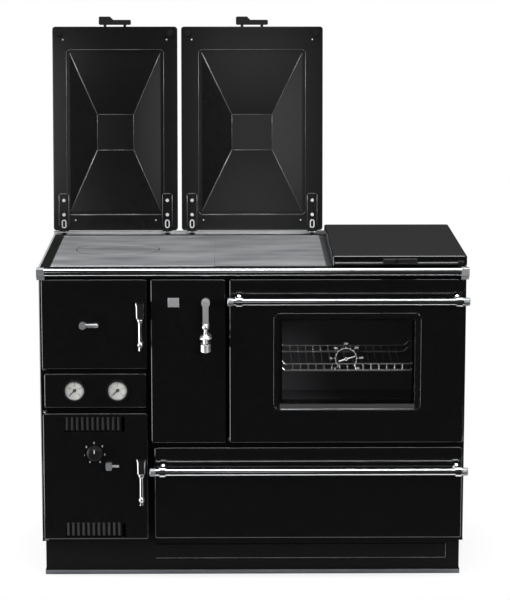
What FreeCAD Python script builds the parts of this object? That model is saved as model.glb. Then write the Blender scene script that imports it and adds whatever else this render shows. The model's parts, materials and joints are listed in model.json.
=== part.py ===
import FreeCAD, Part
import math
import os
import re
import Sketcher
from FreeCAD import Placement, Rotation, Vector

# Wood cookstove with a boiler, free-standing, in millimetres.
# +X is the viewer's right, +Y the back, +Z up; the origin is on the floor under the stove's middle.

SIZES = {
    # carcass
    "stove_width": 1100,
    "stove_depth": 600,
    "plinth_height": 98,
    "plinth_sheet": 4,
    "plinth_side_inset": 8,
    "plinth_front_inset": 38,
    "plinth_foot_height": 12,
    "plinth_foot_lip": 2,
    "cover_height": 38,
    "cover_bottom": 43,
    "cover_sheet": 3,
    "cover_right_inset": 43,
    "side_wall": 5,
    "rear_wall": 5,
    "panel_round": 3,
    "frame_thickness": 8,
    "deck_top": 818,
    "deck_thickness": 22,
    "deck_rim_width": 5,
    "deck_rim_height": 3,
    "upstand_width": 9,
    "upstand_height": 11,
    # doors and fixed front panels
    "door_thickness": 22,
    "door_gap": 0.5,
    "door_corner": 5,
    "door_edge": 3.5,
    "door_lap": 35,
    "side_gap": 7,
    "column_gap": 10,
    "row_gap": 12,
    "ash_row_gap": 15,
    "top_reveal": 5,
    "fire_door_width": 271,
    "fire_door_height": 234,
    "gauge_panel_height": 90,
    "ash_door_bottom": 104,
    "middle_width": 192,
    "drawer_bottom": 106,
    "drawer_height": 243,
    "drawer_inset": 7,
    # door hinges
    "hinge_inset": 5,
    "hinge_setback": 7,
    "hinge_chamfer": 5.5,
    "hinge_pin_radius": 3,
    "hinge_pin_length": 12,
    "running_gap": 0.05,
    "lug_thickness": 3.5,
    "lug_play": 1,
    "lug_half": 5,
    # firebox, boiler and ash pit
    "boiler_gap": 9,
    "boiler_width": 262,
    "boiler_depth": 475,
    "boiler_wall": 40,
    "boiler_front_wall": 30,
    "grate_level": 475,
    "grate_shelf": 45,
    "grate_ledge": 18,
    "grate_rebate": 10,
    "grate_thickness": 18,
    "grate_play": 1,
    "grate_slots": 6,
    "grate_slot_width": 12,
    "ash_floor": 20,
    "throat_height": 70,
    "throat_width": 210,
    "pan_height": 75,
    "pan_sheet": 2.5,
    "pan_play": 12,
    "pan_grip_width": 90,
    "pan_grip_reach": 22,
    "inner_plate": 15,
    "inner_play": 4,
    "inner_rib": 14,
    "socket_radius": 21,
    "socket_bore": 15.1,
    "socket_depth": 60,
    "socket_reach": 20,
    "socket_hole_play": 3,
    "flow_height": 715,
    "return_height": 175,
    "flue_radius": 75,
    "flue_wall": 3,
    "flue_reach": 45,
    "flue_flange": 18,
    "flue_flange_sheet": 4,
    "flue_x": -120,
    "flue_z": 690,
    # oven
    "oven_width": 410,
    "oven_floor": 401,
    "oven_height": 348,
    "oven_depth": 440,
    "oven_sheet": 4,
    "ledge_width": 12,
    "ledge_thickness": 5,
    "ledge_level": 549,
    "ledge_pitch": 70,
    "ledge_front": 22,
    "rack_side_play": 4,
    "rack_front": 34,
    "rack_depth": 250,
    "rack_rim": 17,
    "rack_left_run": 30,
    "rack_right_run": 18,
    "rack_lift": 12,
    "rack_lift_run": 13,
    "rack_frame_radius": 3,
    "rack_wire_radius": 2,
    "rack_wires": 15,
    # oven door
    "window_left": 17.5,
    "window_right": 12.5,
    "window_bottom": 86,
    "window_top": 89,
    "window_corner": 17,
    "window_bevel": 16,
    "window_bevel_depth": 9,
    "glass_sheet": 4,
    "glass_lap": 9,
    "plate_window_margin": 6,
    "thermo_x": 187,
    "thermo_z": 133,
    "thermo_radius": 7,
    "thermo_height": 4,
    "needle_sheet": 1.2,
    "thermo_needle_length": 24,
    "thermo_needle_tail": 20,
    "thermo_needle_width": 3,
    "thermo_needle_angle": 17,
    "thermo_spindle": 2.5,
    # chrome handles
    "tube_radius": 9.5,
    "tube_standoff": 46,
    "tube_cap_radius": 10.5,
    "tube_cap_width": 15,
    "tube_cap_edge": 2,
    "ring_radius": 13.5,
    "ring_width": 15,
    "ring_stem": 5.5,
    "ring_foot": 10,
    "oven_handle_drop": 51,
    "oven_handle_overhang": 10,
    "oven_ring_left": 25,
    "oven_ring_right": 17,
    "drawer_handle_drop": 54,
    "drawer_handle_overhang": 11,
    "drawer_ring_left": 22,
    "drawer_ring_right": 14,
    "rail_radius": 10.5,
    "rail_standoff": 43,
    "rail_height": 817,
    "rail_cap_width": 20,
    "rail_cap_lip": 0.8,
    # drawer
    "drawer_lap": 13,
    "drawer_play": 8,
    "drawer_sheet": 3,
    "drawer_depth": 465,
    "drawer_side_height": 186,
    "runner_sheet": 4,
    "runner_flange": 20,
    "runner_level": 3,
    "slide_gap": 0.3,
    # hob
    "hob_left_inset": 30,
    "hob_front_inset": 38,
    "hob_rear_inset": 32,
    "hob_split": 452,
    "hob_end": 756,
    "hob_end_slope": 17,
    "hob_rise": 2,
    "hob_seat": 6,
    "hob_ledge": 10,
    "hob_play": 0.5,
    "hob_edge": 1.5,
    "ring_lid_radius": 111,
    "ring_lid_lap": 15,
    "ring_lid_x": 191,
    "ring_lid_y": 18,
    "ring_lid_step": 5,
    "ring_notch_radius": 7,
    "ring_mark_radius": 3.5,
    # lids
    "lid_outer_width": 346,
    "lid_gap": 4,
    "lid_left_gap": 11,
    "lid_depth": 565.5,
    "lid_thickness": 25,
    "lid_clearance": 7,
    "lid_corner": 8,
    "lid_edge": 4,
    "lid_sheet": 3,
    "lid_open_angle": 95,
    "lid_hinge_back": 7.5,
    "lid_hinge_inset": 19,
    "lid_hinge_height": 7,
    "liner_sheet": 2,
    "liner_step": 5,
    "liner_shelf": 9,
    "liner_depth": 11,
    "liner_outer_margin": 38,
    "liner_middle_margin": 48,
    "liner_handle_margin": 62,
    "liner_hinge_margin": 44,
    "liner_outer_flat": 101,
    "liner_middle_flat": 112,
    "liner_flat_depth": 99,
    "leaf_inset": 15,
    "leaf_width": 28,
    "leaf_length": 103,
    "leaf_sheet": 3,
    "leaf_bolt_radius": 5.5,
    "leaf_bolt_height": 1.5,
    "leaf_bolt_pitch": 40,
    "leaf_bolt_shift": 12.5,
    "knuckle_radius": 5,
    "knuckle_width": 10,
    "ear_radius": 5,
    "ear_width": 4,
    "ear_play": 0.5,
    "post_foot": 1.5,
    "buffer_radius": 10,
    "buffer_tip": 8,
    "buffer_inset": 19,
    "grip_width": 89,
    "grip_depth": 23,
    "grip_thin_depth": 14,
    "grip_thick_width": 31,
    "grip_height": 11,
    "grip_rise": 9,
    "grip_gap": 5,
    "grip_stud_radius": 4,
    "grip_stud_inset": 17,
    # latch handles of the firebox and ash doors
    "latch_inset": 17,
    "fire_latch_drop": 82,
    "ash_latch_drop": 141,
    "latch_block_width": 20,
    "latch_block_height": 34,
    "latch_block_depth": 16,
    "latch_cap_lip": 2,
    "latch_cap_height": 5,
    "latch_bar_radius": 4.5,
    "latch_ball_radius": 8,
    "latch_ball_near": 23,
    "latch_ball_far": 87,
    "latch_tail": 102,
    "spindle_radius": 5,
    "spindle_depth": 15,
    "spindle_end_play": 1,
    "face_play": 0.4,
    # small controls
    "air_x": 106,
    "air_z": 115,
    "air_rosette": 9,
    "air_rosette_height": 14,
    "air_bar_length": 36,
    "air_bar_radius": 5.5,
    "knob_x": 133,
    "knob_z": 231,
    "knob_radius": 17,
    "knob_height": 20,
    "knob_skirt_radius": 20,
    "knob_skirt_height": 5,
    "flap_x": 170,
    "flap_z": 197,
    "flap_block_width": 16,
    "flap_block_height": 18,
    "flap_block_depth": 14,
    "flap_tip_length": 24,
    "flap_tip_radius": 3,
    "louvre_count": 12,
    "louvre_pitch": 13.3,
    "louvre_width": 8.5,
    "louvre_height": 39,
    "louvre_left": 57,
    "louvre_top_gap": 9,
    "louvre_bottom_gap": 7,
    # flue damper
    "damper_x": 141,
    "damper_drop": 60,
    "damper_shaft_radius": 5,
    "damper_shaft_length": 135,
    "damper_hub_radius": 11,
    "damper_bar_width": 15,
    "damper_bar_sheet": 5,
    "damper_bar_reach": 55,
    "damper_ball_radius": 9,
    "damper_ball_drop": 61,
    "damper_collar_drop": 89,
    "damper_collar_radius": 16,
    "damper_neck_radius": 4.5,
    "damper_knob_radius": 12.5,
    "damper_knob_top": 107,
    "damper_knob_end": 127,
    "damper_flap_width": 110,
    "damper_flap_length": 100,
    "damper_flap_sheet": 4,
    # boiler gauges
    "gauge_left_x": 83,
    "gauge_right_x": 194,
    "gauge_radius": 25.5,
    "gauge_bezel": 3,
    "gauge_bezel_height": 3,
    "gauge_wall": 1.5,
    "gauge_length": 29,
    "gauge_recess": 8,
    "gauge_glass_sheet": 1.5,
    "gauge_needle_length": 17,
    "gauge_needle_tail": 6,
    "gauge_needle_width": 2.6,
    "gauge_hub_radius": 3,
    "gauge_spindle": 1.2,
    "gauge_spindle_height": 3.4,
    "gauge_needle_lift": 1,
    "gauge_needle_angle": 225,
    "gauge_play": 0.1,
}

doc = FreeCAD.newDocument("wood_cookstove")
sheet = doc.addObject("Spreadsheet::Sheet", "dims")
for row, (alias, number) in enumerate(SIZES.items(), start=1):
    sheet.set(f"A{row}", alias)
    sheet.set(f"B{row}", str(number))
    sheet.setAlias(f"B{row}", alias)
doc.recompute()

WORD = re.compile(r"[A-Za-z_]\w*")
NODES = []
TOUCH = 0.01
PAST = 5            # how far a cutting tool runs past the face that it opens
TURN = {"x": Rotation(Vector(0, 1, 0), 90), "y": Rotation(Vector(1, 0, 0), -90), "z": Rotation()}


# Helpers: binding to the sheet, primitives between two limits, booleans

def bind(obj, prop, text):
    def cell(match):
        return "dims." + match.group() if match.group() in SIZES else match.group()
    obj.setExpression(prop, WORD.sub(cell, str(text)))


def place(obj, x, y, z):
    for axis, text in zip("xyz", (x, y, z)):
        bind(obj, f"Placement.Base.{axis}", text)


def block(name, x, y, z):
    box = doc.addObject("Part::Box", name)
    for prop, (low, high) in zip(("Length", "Width", "Height"), (x, y, z)):
        bind(box, prop, f"({high}) - ({low})")
    place(box, x[0], y[0], z[0])
    return box


def stand(obj, axis, start, centre):
    obj.Placement = Placement(Vector(), TURN[axis])
    spot = list(centre)
    spot.insert("xyz".index(axis), start)
    place(obj, *spot)
    return obj


def rod(name, axis, radius, span, centre):
    cylinder = doc.addObject("Part::Cylinder", name)
    bind(cylinder, "Radius", radius)
    bind(cylinder, "Height", f"({span[1]}) - ({span[0]})")
    return stand(cylinder, axis, span[0], centre)


def taper(name, axis, radii, span, centre):
    cone = doc.addObject("Part::Cone", name)
    bind(cone, "Radius1", radii[0])
    bind(cone, "Radius2", radii[1])
    bind(cone, "Height", f"({span[1]}) - ({span[0]})")
    return stand(cone, axis, span[0], centre)


def ball(name, radius, x, y, z):
    sphere = doc.addObject("Part::Sphere", name)
    bind(sphere, "Radius", radius)
    place(sphere, x, y, z)
    return sphere


def fuse(name, pieces):
    union = doc.addObject("Part::MultiFuse", name)
    union.Shapes = pieces
    return union


def cut(name, base, tools):
    tool = tools[0] if len(tools) == 1 else fuse(name + "_tools", tools)
    result = doc.addObject("Part::Cut", name)
    result.Base = base
    result.Tool = tool
    return result


def gather(name, pieces):
    group = doc.addObject("Part::Compound", name)
    group.Links = pieces
    return group


def node(label, obj):
    obj.Label = label
    NODES.append(obj)
    return obj


# Helpers: sketched bodies

def polygon(body, plane, points):
    sketch = body.newObject("Sketcher::SketchObject", body.Name + "_sketch")
    support = [part for part in body.Origin.OriginFeatures if part.Role == plane]
    sketch.AttachmentSupport = [(support[0], "")]
    sketch.MapMode = "FlatFace"
    count = len(points)
    angles = [2 * math.pi * i / count for i in range(count)]
    ring = [Vector(math.cos(angle), math.sin(angle), 0) for angle in angles]
    for i in range(count):
        sketch.addGeometry(Part.LineSegment(ring[i], ring[(i + 1) % count]), False)
    for i in range(count):
        sketch.addConstraint(Sketcher.Constraint("Coincident", i, 2, (i + 1) % count, 1))
    for i, point in enumerate(points):
        for kind, axis, text in zip(("DistanceX", "DistanceY"), (-2, -1), point):
            if text == "0":
                sketch.addConstraint(Sketcher.Constraint("PointOnObject", i, 1, axis))
            else:
                index = sketch.addConstraint(Sketcher.Constraint(kind, -1, 1, i, 1, 1.0))
                bind(sketch, f"Constraints[{index}]", text)
    return sketch


def rectangle(body, plane, x, y):
    return polygon(body, plane, [(x[0], y[0]), (x[1], y[0]), (x[1], y[1]), (x[0], y[1])])


def extrude(name, plane, points, length):
    body = doc.addObject("PartDesign::Body", name)
    pad = body.newObject("PartDesign::Pad", name + "_pad")
    pad.Profile = polygon(body, plane, points)
    bind(pad, "Length", length)
    return body


def turned(name, points):
    body = doc.addObject("PartDesign::Body", name)
    profile = polygon(body, "XZ_Plane", points)
    revolution = body.newObject("PartDesign::Revolution", name + "_turn")
    revolution.Profile = profile
    revolution.ReferenceAxis = (profile, ["V_Axis"])
    revolution.Angle = 360
    return body


def dress(body, kind, size, *tests):
    doc.recompute()
    base = body.Tip
    whole = base.Shape.BoundBox
    edges = enumerate(base.Shape.Edges, start=1)
    names = [f"Edge{i}" for i, edge in edges if all(test(edge.BoundBox, whole) for test in tests)]
    feature = body.newObject(f"PartDesign::{kind}", body.Name + "_" + kind.lower())
    feature.Base = (base, names)
    bind(feature, "Radius" if kind == "Fillet" else "Size", size)
    return body


def along(axis):
    others = [name for name in "XYZ" if name != axis]
    return lambda edge, whole: all(getattr(edge, name + "Length") < TOUCH for name in others)


def on(side):
    limit = side[0] + ("Max" if side.endswith("Min") else "Min")
    return lambda edge, whole: abs(getattr(edge, limit) - getattr(whole, side)) < TOUCH


def slab(name, x, y, z):
    size = [f"({high}) - ({low})" for low, high in (x, y, z)]
    corners = [("0", "0"), (size[0], "0"), (size[0], size[1]), ("0", size[1])]
    body = extrude(name, "XY_Plane", corners, size[2])
    place(body, x[0], y[0], z[0])
    return body


def pocket(body, x, z):
    """Opening cut from the front face of a body, right through."""
    feature = body.newObject("PartDesign::Pocket", body.Name + "_pocket")
    feature.Profile = rectangle(body, "XZ_Plane", x, z)
    feature.Type = "ThroughAll"
    return feature


# Limits shared by neighbouring pieces

LEFT = "(-stove_width / 2)"
RIGHT = "(stove_width / 2)"
FRONT = "(-stove_depth / 2)"
BACK = "(stove_depth / 2)"
DOOR_BACK = f"({FRONT} + door_thickness)"
FRAME_FRONT = f"({DOOR_BACK} + door_gap)"
FRAME_BACK = f"({FRAME_FRONT} + frame_thickness)"
CARCASS_TOP = "(deck_top - deck_thickness)"
INNER_LEFT = f"({LEFT} + side_wall)"
INNER_RIGHT = f"({RIGHT} - side_wall)"

UPPER_TOP = f"({CARCASS_TOP} - top_reveal)"
FIRE_BOTTOM = f"({UPPER_TOP} - fire_door_height)"
GAUGE_TOP = f"({FIRE_BOTTOM} - row_gap)"
GAUGE_BOTTOM = f"({GAUGE_TOP} - gauge_panel_height)"
ASH_TOP = f"({GAUGE_BOTTOM} - ash_row_gap)"
DRAWER_TOP = "(drawer_bottom + drawer_height)"
UPPER_BOTTOM = f"({DRAWER_TOP} + row_gap)"
FIRE_LEFT = f"({LEFT} + side_gap)"
FIRE_RIGHT = f"({FIRE_LEFT} + fire_door_width)"
MIDDLE_LEFT = f"({FIRE_RIGHT} + column_gap)"
MIDDLE_RIGHT = f"({MIDDLE_LEFT} + middle_width)"
OVEN_LEFT = f"({MIDDLE_RIGHT} + column_gap)"
OVEN_RIGHT = f"({RIGHT} - side_gap)"
DRAWER_LEFT = f"({MIDDLE_LEFT} + drawer_inset)"

HOLE_X = (f"({FIRE_LEFT} + door_lap)", f"({FIRE_RIGHT} - door_lap)")
FIRE_HOLE_Z = (f"({FIRE_BOTTOM} + door_lap)", f"({UPPER_TOP} - door_lap)")
ASH_HOLE_Z = ("(ash_door_bottom + door_lap)", f"({ASH_TOP} - door_lap)")
OVEN_MID = f"(({OVEN_LEFT} + {OVEN_RIGHT}) / 2)"
OVEN_X = (f"({OVEN_MID} - oven_width / 2)", f"({OVEN_MID} + oven_width / 2)")
OVEN_Z = ("oven_floor", "(oven_floor + oven_height)")
DRAWER_HOLE_X = (f"({DRAWER_LEFT} + drawer_lap)", f"({OVEN_RIGHT} - drawer_lap)")
DRAWER_HOLE_Z = ("(drawer_bottom + drawer_lap)", f"({DRAWER_TOP} - drawer_lap)")

HINGE_X = f"({FIRE_LEFT} + hinge_inset)"
HINGE_Y = f"({DOOR_BACK} - hinge_setback)"
OVEN_HINGE_Z = f"({UPPER_BOTTOM} + hinge_setback)"
DAMPER_X = f"({MIDDLE_LEFT} + damper_x)"
DAMPER_Z = f"({UPPER_TOP} - damper_drop)"
GAUGE_Z = f"(({GAUGE_TOP} + {GAUGE_BOTTOM}) / 2)"
GAUGE_X = {"temperature": f"({FIRE_LEFT} + gauge_left_x)", "pressure": f"({FIRE_LEFT} + gauge_right_x)"}
BORE_RADIUS = "(spindle_radius + running_gap)"


# Plinth: sheet deck on a recessed skirt, with a lip and a cross bar at the floor

skirt_x = (f"{LEFT} + plinth_side_inset", f"{RIGHT} - plinth_side_inset")
skirt_y = (f"{FRONT} + plinth_front_inset", f"{BACK} - plinth_front_inset")
skirt_z = ("0", "plinth_height - plinth_sheet")


def grown(limits, amount):
    return (f"{limits[0]} - ({amount})", f"{limits[1]} + ({amount})")


foot_z = ("0", "plinth_foot_height")
skirt = fuse("plinth_skirt", [
    block("skirt_wall", skirt_x, skirt_y, skirt_z),
    block("skirt_lip", grown(skirt_x, "plinth_foot_lip"), grown(skirt_y, "plinth_foot_lip"), foot_z),
])
hollow = block("skirt_hollow", grown(skirt_x, "-plinth_sheet"), grown(skirt_y, "-plinth_sheet"),
               (f"-{PAST}", skirt_z[1]))
node("plinth", fuse("plinth", [
    cut("skirt_ring", skirt, [hollow]),
    block("plinth_deck", (LEFT, RIGHT), (FRAME_FRONT, BACK), (skirt_z[1], "plinth_height")),
    block("plinth_bar", skirt_x, ("-plinth_foot_height", "plinth_foot_height"), foot_z),
]))

cover = slab("plinth_cover_slab", (DRAWER_LEFT, f"{RIGHT} - cover_right_inset"),
             (f"{skirt_y[0]} - cover_sheet", skirt_y[0]), ("cover_bottom", "cover_bottom + cover_height"))
dress(cover, "Fillet", "panel_round", along("Y"))
dress(cover, "Fillet", "cover_sheet / 2", on("YMin"))
node("plinth_cover", cover)


# Side panels and rear panel

wall_z = ("plinth_height", CARCASS_TOP)
side_y = (FRAME_FRONT, f"{BACK} - rear_wall")
left_side = slab("side_left_slab", (LEFT, INNER_LEFT), side_y, wall_z)
node("side_panel_left", dress(left_side, "Fillet", "panel_round", along("Z"), on("XMin"), on("YMin")))
right_side = slab("side_right_slab", (INNER_RIGHT, RIGHT), side_y, wall_z)
node("side_panel_right", dress(right_side, "Fillet", "panel_round", along("Z"), on("XMax"), on("YMin")))

FLUE_AT = ("flue_x", "flue_z")
FLUE_BORE = "(flue_radius - flue_wall)"
BOILER_LEFT = f"({INNER_LEFT} + boiler_gap)"
BOILER_RIGHT = f"({BOILER_LEFT} + boiler_width)"
BOILER_BACK = f"({FRAME_BACK} + boiler_depth)"
SOCKET_X = f"(({BOILER_LEFT} + {BOILER_RIGHT}) / 2)"
SOCKET_END = f"({BACK} + socket_reach)"
rear_y = (f"{BACK} - rear_wall", BACK)
rear_cut_y = (f"{rear_y[0]} - {PAST}", f"{BACK} + {PAST}")
rear_tools = [rod("rear_flue_hole", "y", FLUE_BORE, rear_cut_y, FLUE_AT)]
for level in ("flow_height", "return_height"):
    rear_tools.append(rod("rear_hole_" + level, "y", "socket_radius + socket_hole_play", rear_cut_y,
                          (SOCKET_X, level)))
node("rear_panel", cut("rear_panel", slab("rear_slab", (LEFT, RIGHT), rear_y, wall_z), rear_tools))


# Front frame: the black face behind the doors, with their openings

frame_cut_y = (f"{FRAME_FRONT} - {PAST}", f"{FRAME_BACK} + {PAST}")
frame_tools = [
    block("fire_hole", HOLE_X, frame_cut_y, FIRE_HOLE_Z),
    block("ash_hole", HOLE_X, frame_cut_y, ASH_HOLE_Z),
    block("oven_hole", OVEN_X, frame_cut_y, OVEN_Z),
    block("drawer_hole", DRAWER_HOLE_X, frame_cut_y, DRAWER_HOLE_Z),
    rod("damper_frame_hole", "y", "damper_shaft_radius + running_gap", frame_cut_y, (DAMPER_X, DAMPER_Z)),
]
for name, x in GAUGE_X.items():
    frame_tools.append(rod(name + "_frame_hole", "y", "gauge_radius + gauge_play", frame_cut_y,
                           (x, GAUGE_Z)))
frame_slab = slab("frame_slab", (INNER_LEFT, INNER_RIGHT), (FRAME_FRONT, FRAME_BACK), wall_z)
node("front_frame", cut("front_frame", frame_slab, frame_tools))


# Boiler body: water jacket round the firebox and the ash pit, with a throat to the flue

boiler_x = (BOILER_LEFT, BOILER_RIGHT)
ASH_Z = ("(plinth_height + ash_floor)", "(grate_level - grate_shelf)")
CAVITY_Y = (f"({FRAME_BACK} + boiler_front_wall)", f"({BOILER_BACK} - boiler_wall)")
GRATE_X = grown(HOLE_X, "-grate_rebate")
GRATE_Y = grown(CAVITY_Y, "-grate_rebate")
GRATE_Z = ("(grate_level - grate_thickness)", "grate_level")
cavity_mid = f"(({CAVITY_Y[0]} + {CAVITY_Y[1]}) / 2)"
throat_y = (f"{cavity_mid} - throat_width / 2", f"{cavity_mid} + throat_width / 2")
past_top = f"{CARCASS_TOP} + {PAST}"
boiler_tools = [
    block("fire_cavity", HOLE_X, CAVITY_Y, ("grate_level", past_top)),
    block("fire_throat", HOLE_X, (f"{FRAME_BACK} - {PAST}", f"{CAVITY_Y[0]} + {PAST}"), FIRE_HOLE_Z),
    block("ash_cavity", HOLE_X, (f"{FRAME_BACK} - {PAST}", CAVITY_Y[1]), ASH_Z),
    block("grate_seat", GRATE_X, GRATE_Y, (GRATE_Z[0], past_top)),
    block("grate_opening", grown(HOLE_X, "-grate_ledge"), grown(CAVITY_Y, "-grate_ledge"),
          (f"{ASH_Z[1]} - {PAST}", past_top)),
    block("flue_throat", (f"{HOLE_X[1]} - {PAST}", f"{BOILER_RIGHT} + {PAST}"), throat_y,
          (f"{CARCASS_TOP} - throat_height", past_top)),
]
node("boiler_body", cut("boiler_body", slab("boiler_slab", boiler_x, (FRAME_BACK, BOILER_BACK), wall_z),
                        boiler_tools))

sockets = []
for level in ("flow_height", "return_height"):
    pipe = rod("socket_" + level, "y", "socket_radius", (BOILER_BACK, SOCKET_END), (SOCKET_X, level))
    bore = rod("socket_bore_" + level, "y", "socket_bore",
               (f"{SOCKET_END} - socket_depth", f"{SOCKET_END} + {PAST}"), (SOCKET_X, level))
    sockets.append(cut("socket_cut_" + level, pipe, [bore]))
node("flow_return_sockets", gather("flow_return_sockets", sockets))

grate_x = grown(GRATE_X, "-grate_play")
grate_y = grown(GRATE_Y, "-grate_play")
slot_pitch = f"(({grate_x[1]}) - ({grate_x[0]})) / (grate_slots + 1)"
slot_tools = []
for i in range(SIZES["grate_slots"]):
    middle = f"{grate_x[0]} + {i + 1} * {slot_pitch}"
    slot_x = (f"{middle} - grate_slot_width / 2", f"{middle} + grate_slot_width / 2")
    slot_tools.append(block(f"grate_slot_{i}", slot_x, grown(grate_y, "-2 * grate_ledge"),
                            (f"{GRATE_Z[0]} - {PAST}", f"grate_level + {PAST}")))
node("fire_grate", cut("fire_grate", slab("grate_slab", grate_x, grate_y, GRATE_Z), slot_tools))

pan_x = grown(HOLE_X, "-pan_play")
pan_y = (f"{FRAME_BACK} + pan_play", f"{CAVITY_Y[1]} - pan_play")
pan_z = (ASH_Z[0], f"{ASH_Z[0]} + pan_height")
pan_mid = f"({pan_x[0]} + {pan_x[1]}) / 2"
pan_box = cut("pan_box", slab("pan_slab", pan_x, pan_y, pan_z), [
    block("pan_hollow", grown(pan_x, "-pan_sheet"), grown(pan_y, "-pan_sheet"),
          (f"{pan_z[0]} + pan_sheet", f"{pan_z[1]} + {PAST}"))])
pan_grip = slab("pan_grip", (f"{pan_mid} - pan_grip_width / 2", f"{pan_mid} + pan_grip_width / 2"),
                (f"{pan_y[0]} - pan_play + 1", pan_y[0]),
                (f"{pan_z[1]} - pan_grip_reach", f"{pan_z[1]} - pan_grip_reach + pan_sheet"))
node("ash_pan", fuse("ash_pan", [pan_box, pan_grip]))


# Flue spigot on the rear panel

flue_ring = fuse("flue_ring", [
    rod("flue_pipe", "y", "flue_radius", (BACK, f"{BACK} + flue_reach"), FLUE_AT),
    rod("flue_flange", "y", "flue_radius + flue_flange", (BACK, f"{BACK} + flue_flange_sheet"), FLUE_AT),
])
node("flue_spigot", cut("flue_spigot", flue_ring, [
    rod("flue_bore", "y", FLUE_BORE, (f"{BACK} - {PAST}", f"{BACK} + flue_reach + {PAST}"), FLUE_AT)]))


# Oven box with three pairs of shelf ledges, and the wire rack

OVEN_Y = (FRAME_BACK, f"({FRAME_BACK} + oven_depth)")
oven_slab = slab("oven_slab", grown(OVEN_X, "oven_sheet"), (OVEN_Y[0], f"{OVEN_Y[1]} + oven_sheet"),
                 grown(OVEN_Z, "oven_sheet"))
oven_shell = cut("oven_shell", oven_slab, [
    block("oven_hollow", OVEN_X, (f"{OVEN_Y[0]} - {PAST}", OVEN_Y[1]), OVEN_Z)])
ledge_y = (f"{OVEN_Y[0]} + ledge_front", OVEN_Y[1])
ledges = []
for row in (-1, 0, 1):
    ledge_z = (f"ledge_level - ledge_thickness + {row} * ledge_pitch", f"ledge_level + {row} * ledge_pitch")
    for name, ledge_x in (("left", (OVEN_X[0], f"{OVEN_X[0]} + ledge_width")),
                          ("right", (f"{OVEN_X[1]} - ledge_width", OVEN_X[1]))):
        ledges.append(block(f"ledge_{name}_{row + 1}", ledge_x, ledge_y, ledge_z))
node("oven_box", fuse("oven_box", [oven_shell] + ledges))

rack_x = grown(OVEN_X, "-rack_side_play")
rack_y = (f"({OVEN_Y[0]} + rack_front)", f"({OVEN_Y[0]} + rack_front + rack_depth)")
slope_x = (f"({rack_x[0]} + rack_left_run)", f"({rack_x[1]} - rack_right_run)")
floor_x = grown(slope_x, "-rack_lift_run")
rack_low = "(ledge_level + rack_frame_radius - rack_lift)"
rack_high = f"({rack_low} + rack_rim)"


def rack_end(name, radius, side, y, height):
    """Sloped end of a rack bar, from the rack's floor up to its side bar on the ledges."""
    slope = doc.addObject("Part::Cylinder", name)
    bind(slope, "Radius", radius)
    bind(slope, "Height", "sqrt(rack_lift ^ 2 + rack_lift_run ^ 2)")
    slope.Placement = Placement(Vector(), Rotation(Vector(0, 1 if side else -1, 0), 1))
    bind(slope, "Placement.Rotation.Angle", "atan(rack_lift_run / rack_lift)")
    place(slope, floor_x[side], y, height)
    return slope


rack_rods = []
for height, radius in ((rack_low, "rack_frame_radius"), (rack_high, "rack_wire_radius")):
    side_height = f"({height} + rack_lift)"
    for i, y in enumerate(rack_y):
        rack_rods.append(rod(f"rack_bar_{i}", "x", radius, floor_x, (y, height)))
        rack_rods.append(rod(f"rack_side_{i}", "y", radius, rack_y, (rack_x[i], side_height)))
        for side in range(2):
            rack_rods.append(rack_end(f"rack_end_{i}{side}", radius, side, y, height))
            level = (rack_x[0], slope_x[0]) if side == 0 else (slope_x[1], rack_x[1])
            rack_rods.append(rod(f"rack_level_{i}{side}", "x", radius, level, (y, side_height)))
            rack_rods.append(ball("rack_bend", radius, floor_x[side], y, height))
            rack_rods.append(ball("rack_bend_top", radius, slope_x[side], y, side_height))
            rack_rods.append(ball("rack_corner", radius, rack_x[side], y, side_height))
for i in range(SIZES["rack_wires"]):
    x = f"{floor_x[0]} + {i + 1} * (({floor_x[1]}) - ({floor_x[0]})) / (rack_wires + 1)"
    rack_rods.append(rod(f"rack_wire_{i}", "y", "rack_wire_radius", rack_y, (x, rack_low)))
    for y in rack_y:
        rack_rods.append(rod(f"rack_riser_{i}", "z", "rack_wire_radius", (rack_low, rack_high), (x, y)))
node("oven_rack", fuse("oven_rack", rack_rods))


# Hob: frame with raised rim, two plates and the ring lid

HOB_X = (f"({LEFT} + hob_left_inset)", f"({LEFT} + hob_end)")
HOB_SPLIT = f"({LEFT} + hob_split)"
HOB_Y = (f"({FRONT} + hob_front_inset)", f"({BACK} - hob_rear_inset)")
HOB_Z = ("(deck_top - hob_seat)", "(deck_top + hob_rise)")
rim_top = "deck_top + deck_rim_height"
rim = cut("deck_rim", block("rim_block", (LEFT, RIGHT), (FRONT, BACK), ("deck_top", rim_top)), [
    block("rim_hollow", (INNER_LEFT, INNER_RIGHT), grown((FRONT, BACK), "-deck_rim_width"),
          (f"deck_top - {PAST}", f"{rim_top} + {PAST}"))])
deck = dress(slab("deck_slab", (LEFT, RIGHT), (FRONT, BACK), (CARCASS_TOP, "deck_top")),
             "Fillet", "panel_round", along("Z"))
hob_through = (f"{CARCASS_TOP} - {PAST}", f"deck_top + {PAST}")
upstand = block("rear_upstand", (LEFT, RIGHT), (f"{BACK} - upstand_width", BACK),
                ("deck_top", "deck_top + upstand_height"))
node("hob_frame", cut("hob_frame", fuse("deck_and_rim", [deck, rim, upstand]), [
    block("hob_opening", grown(HOB_X, "-hob_ledge"), grown(HOB_Y, "-hob_ledge"), hob_through),
    block("hob_recess", grown(HOB_X, "hob_play"), grown(HOB_Y, "hob_play"),
          (HOB_Z[0], f"deck_top + {PAST}"))]))

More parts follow.
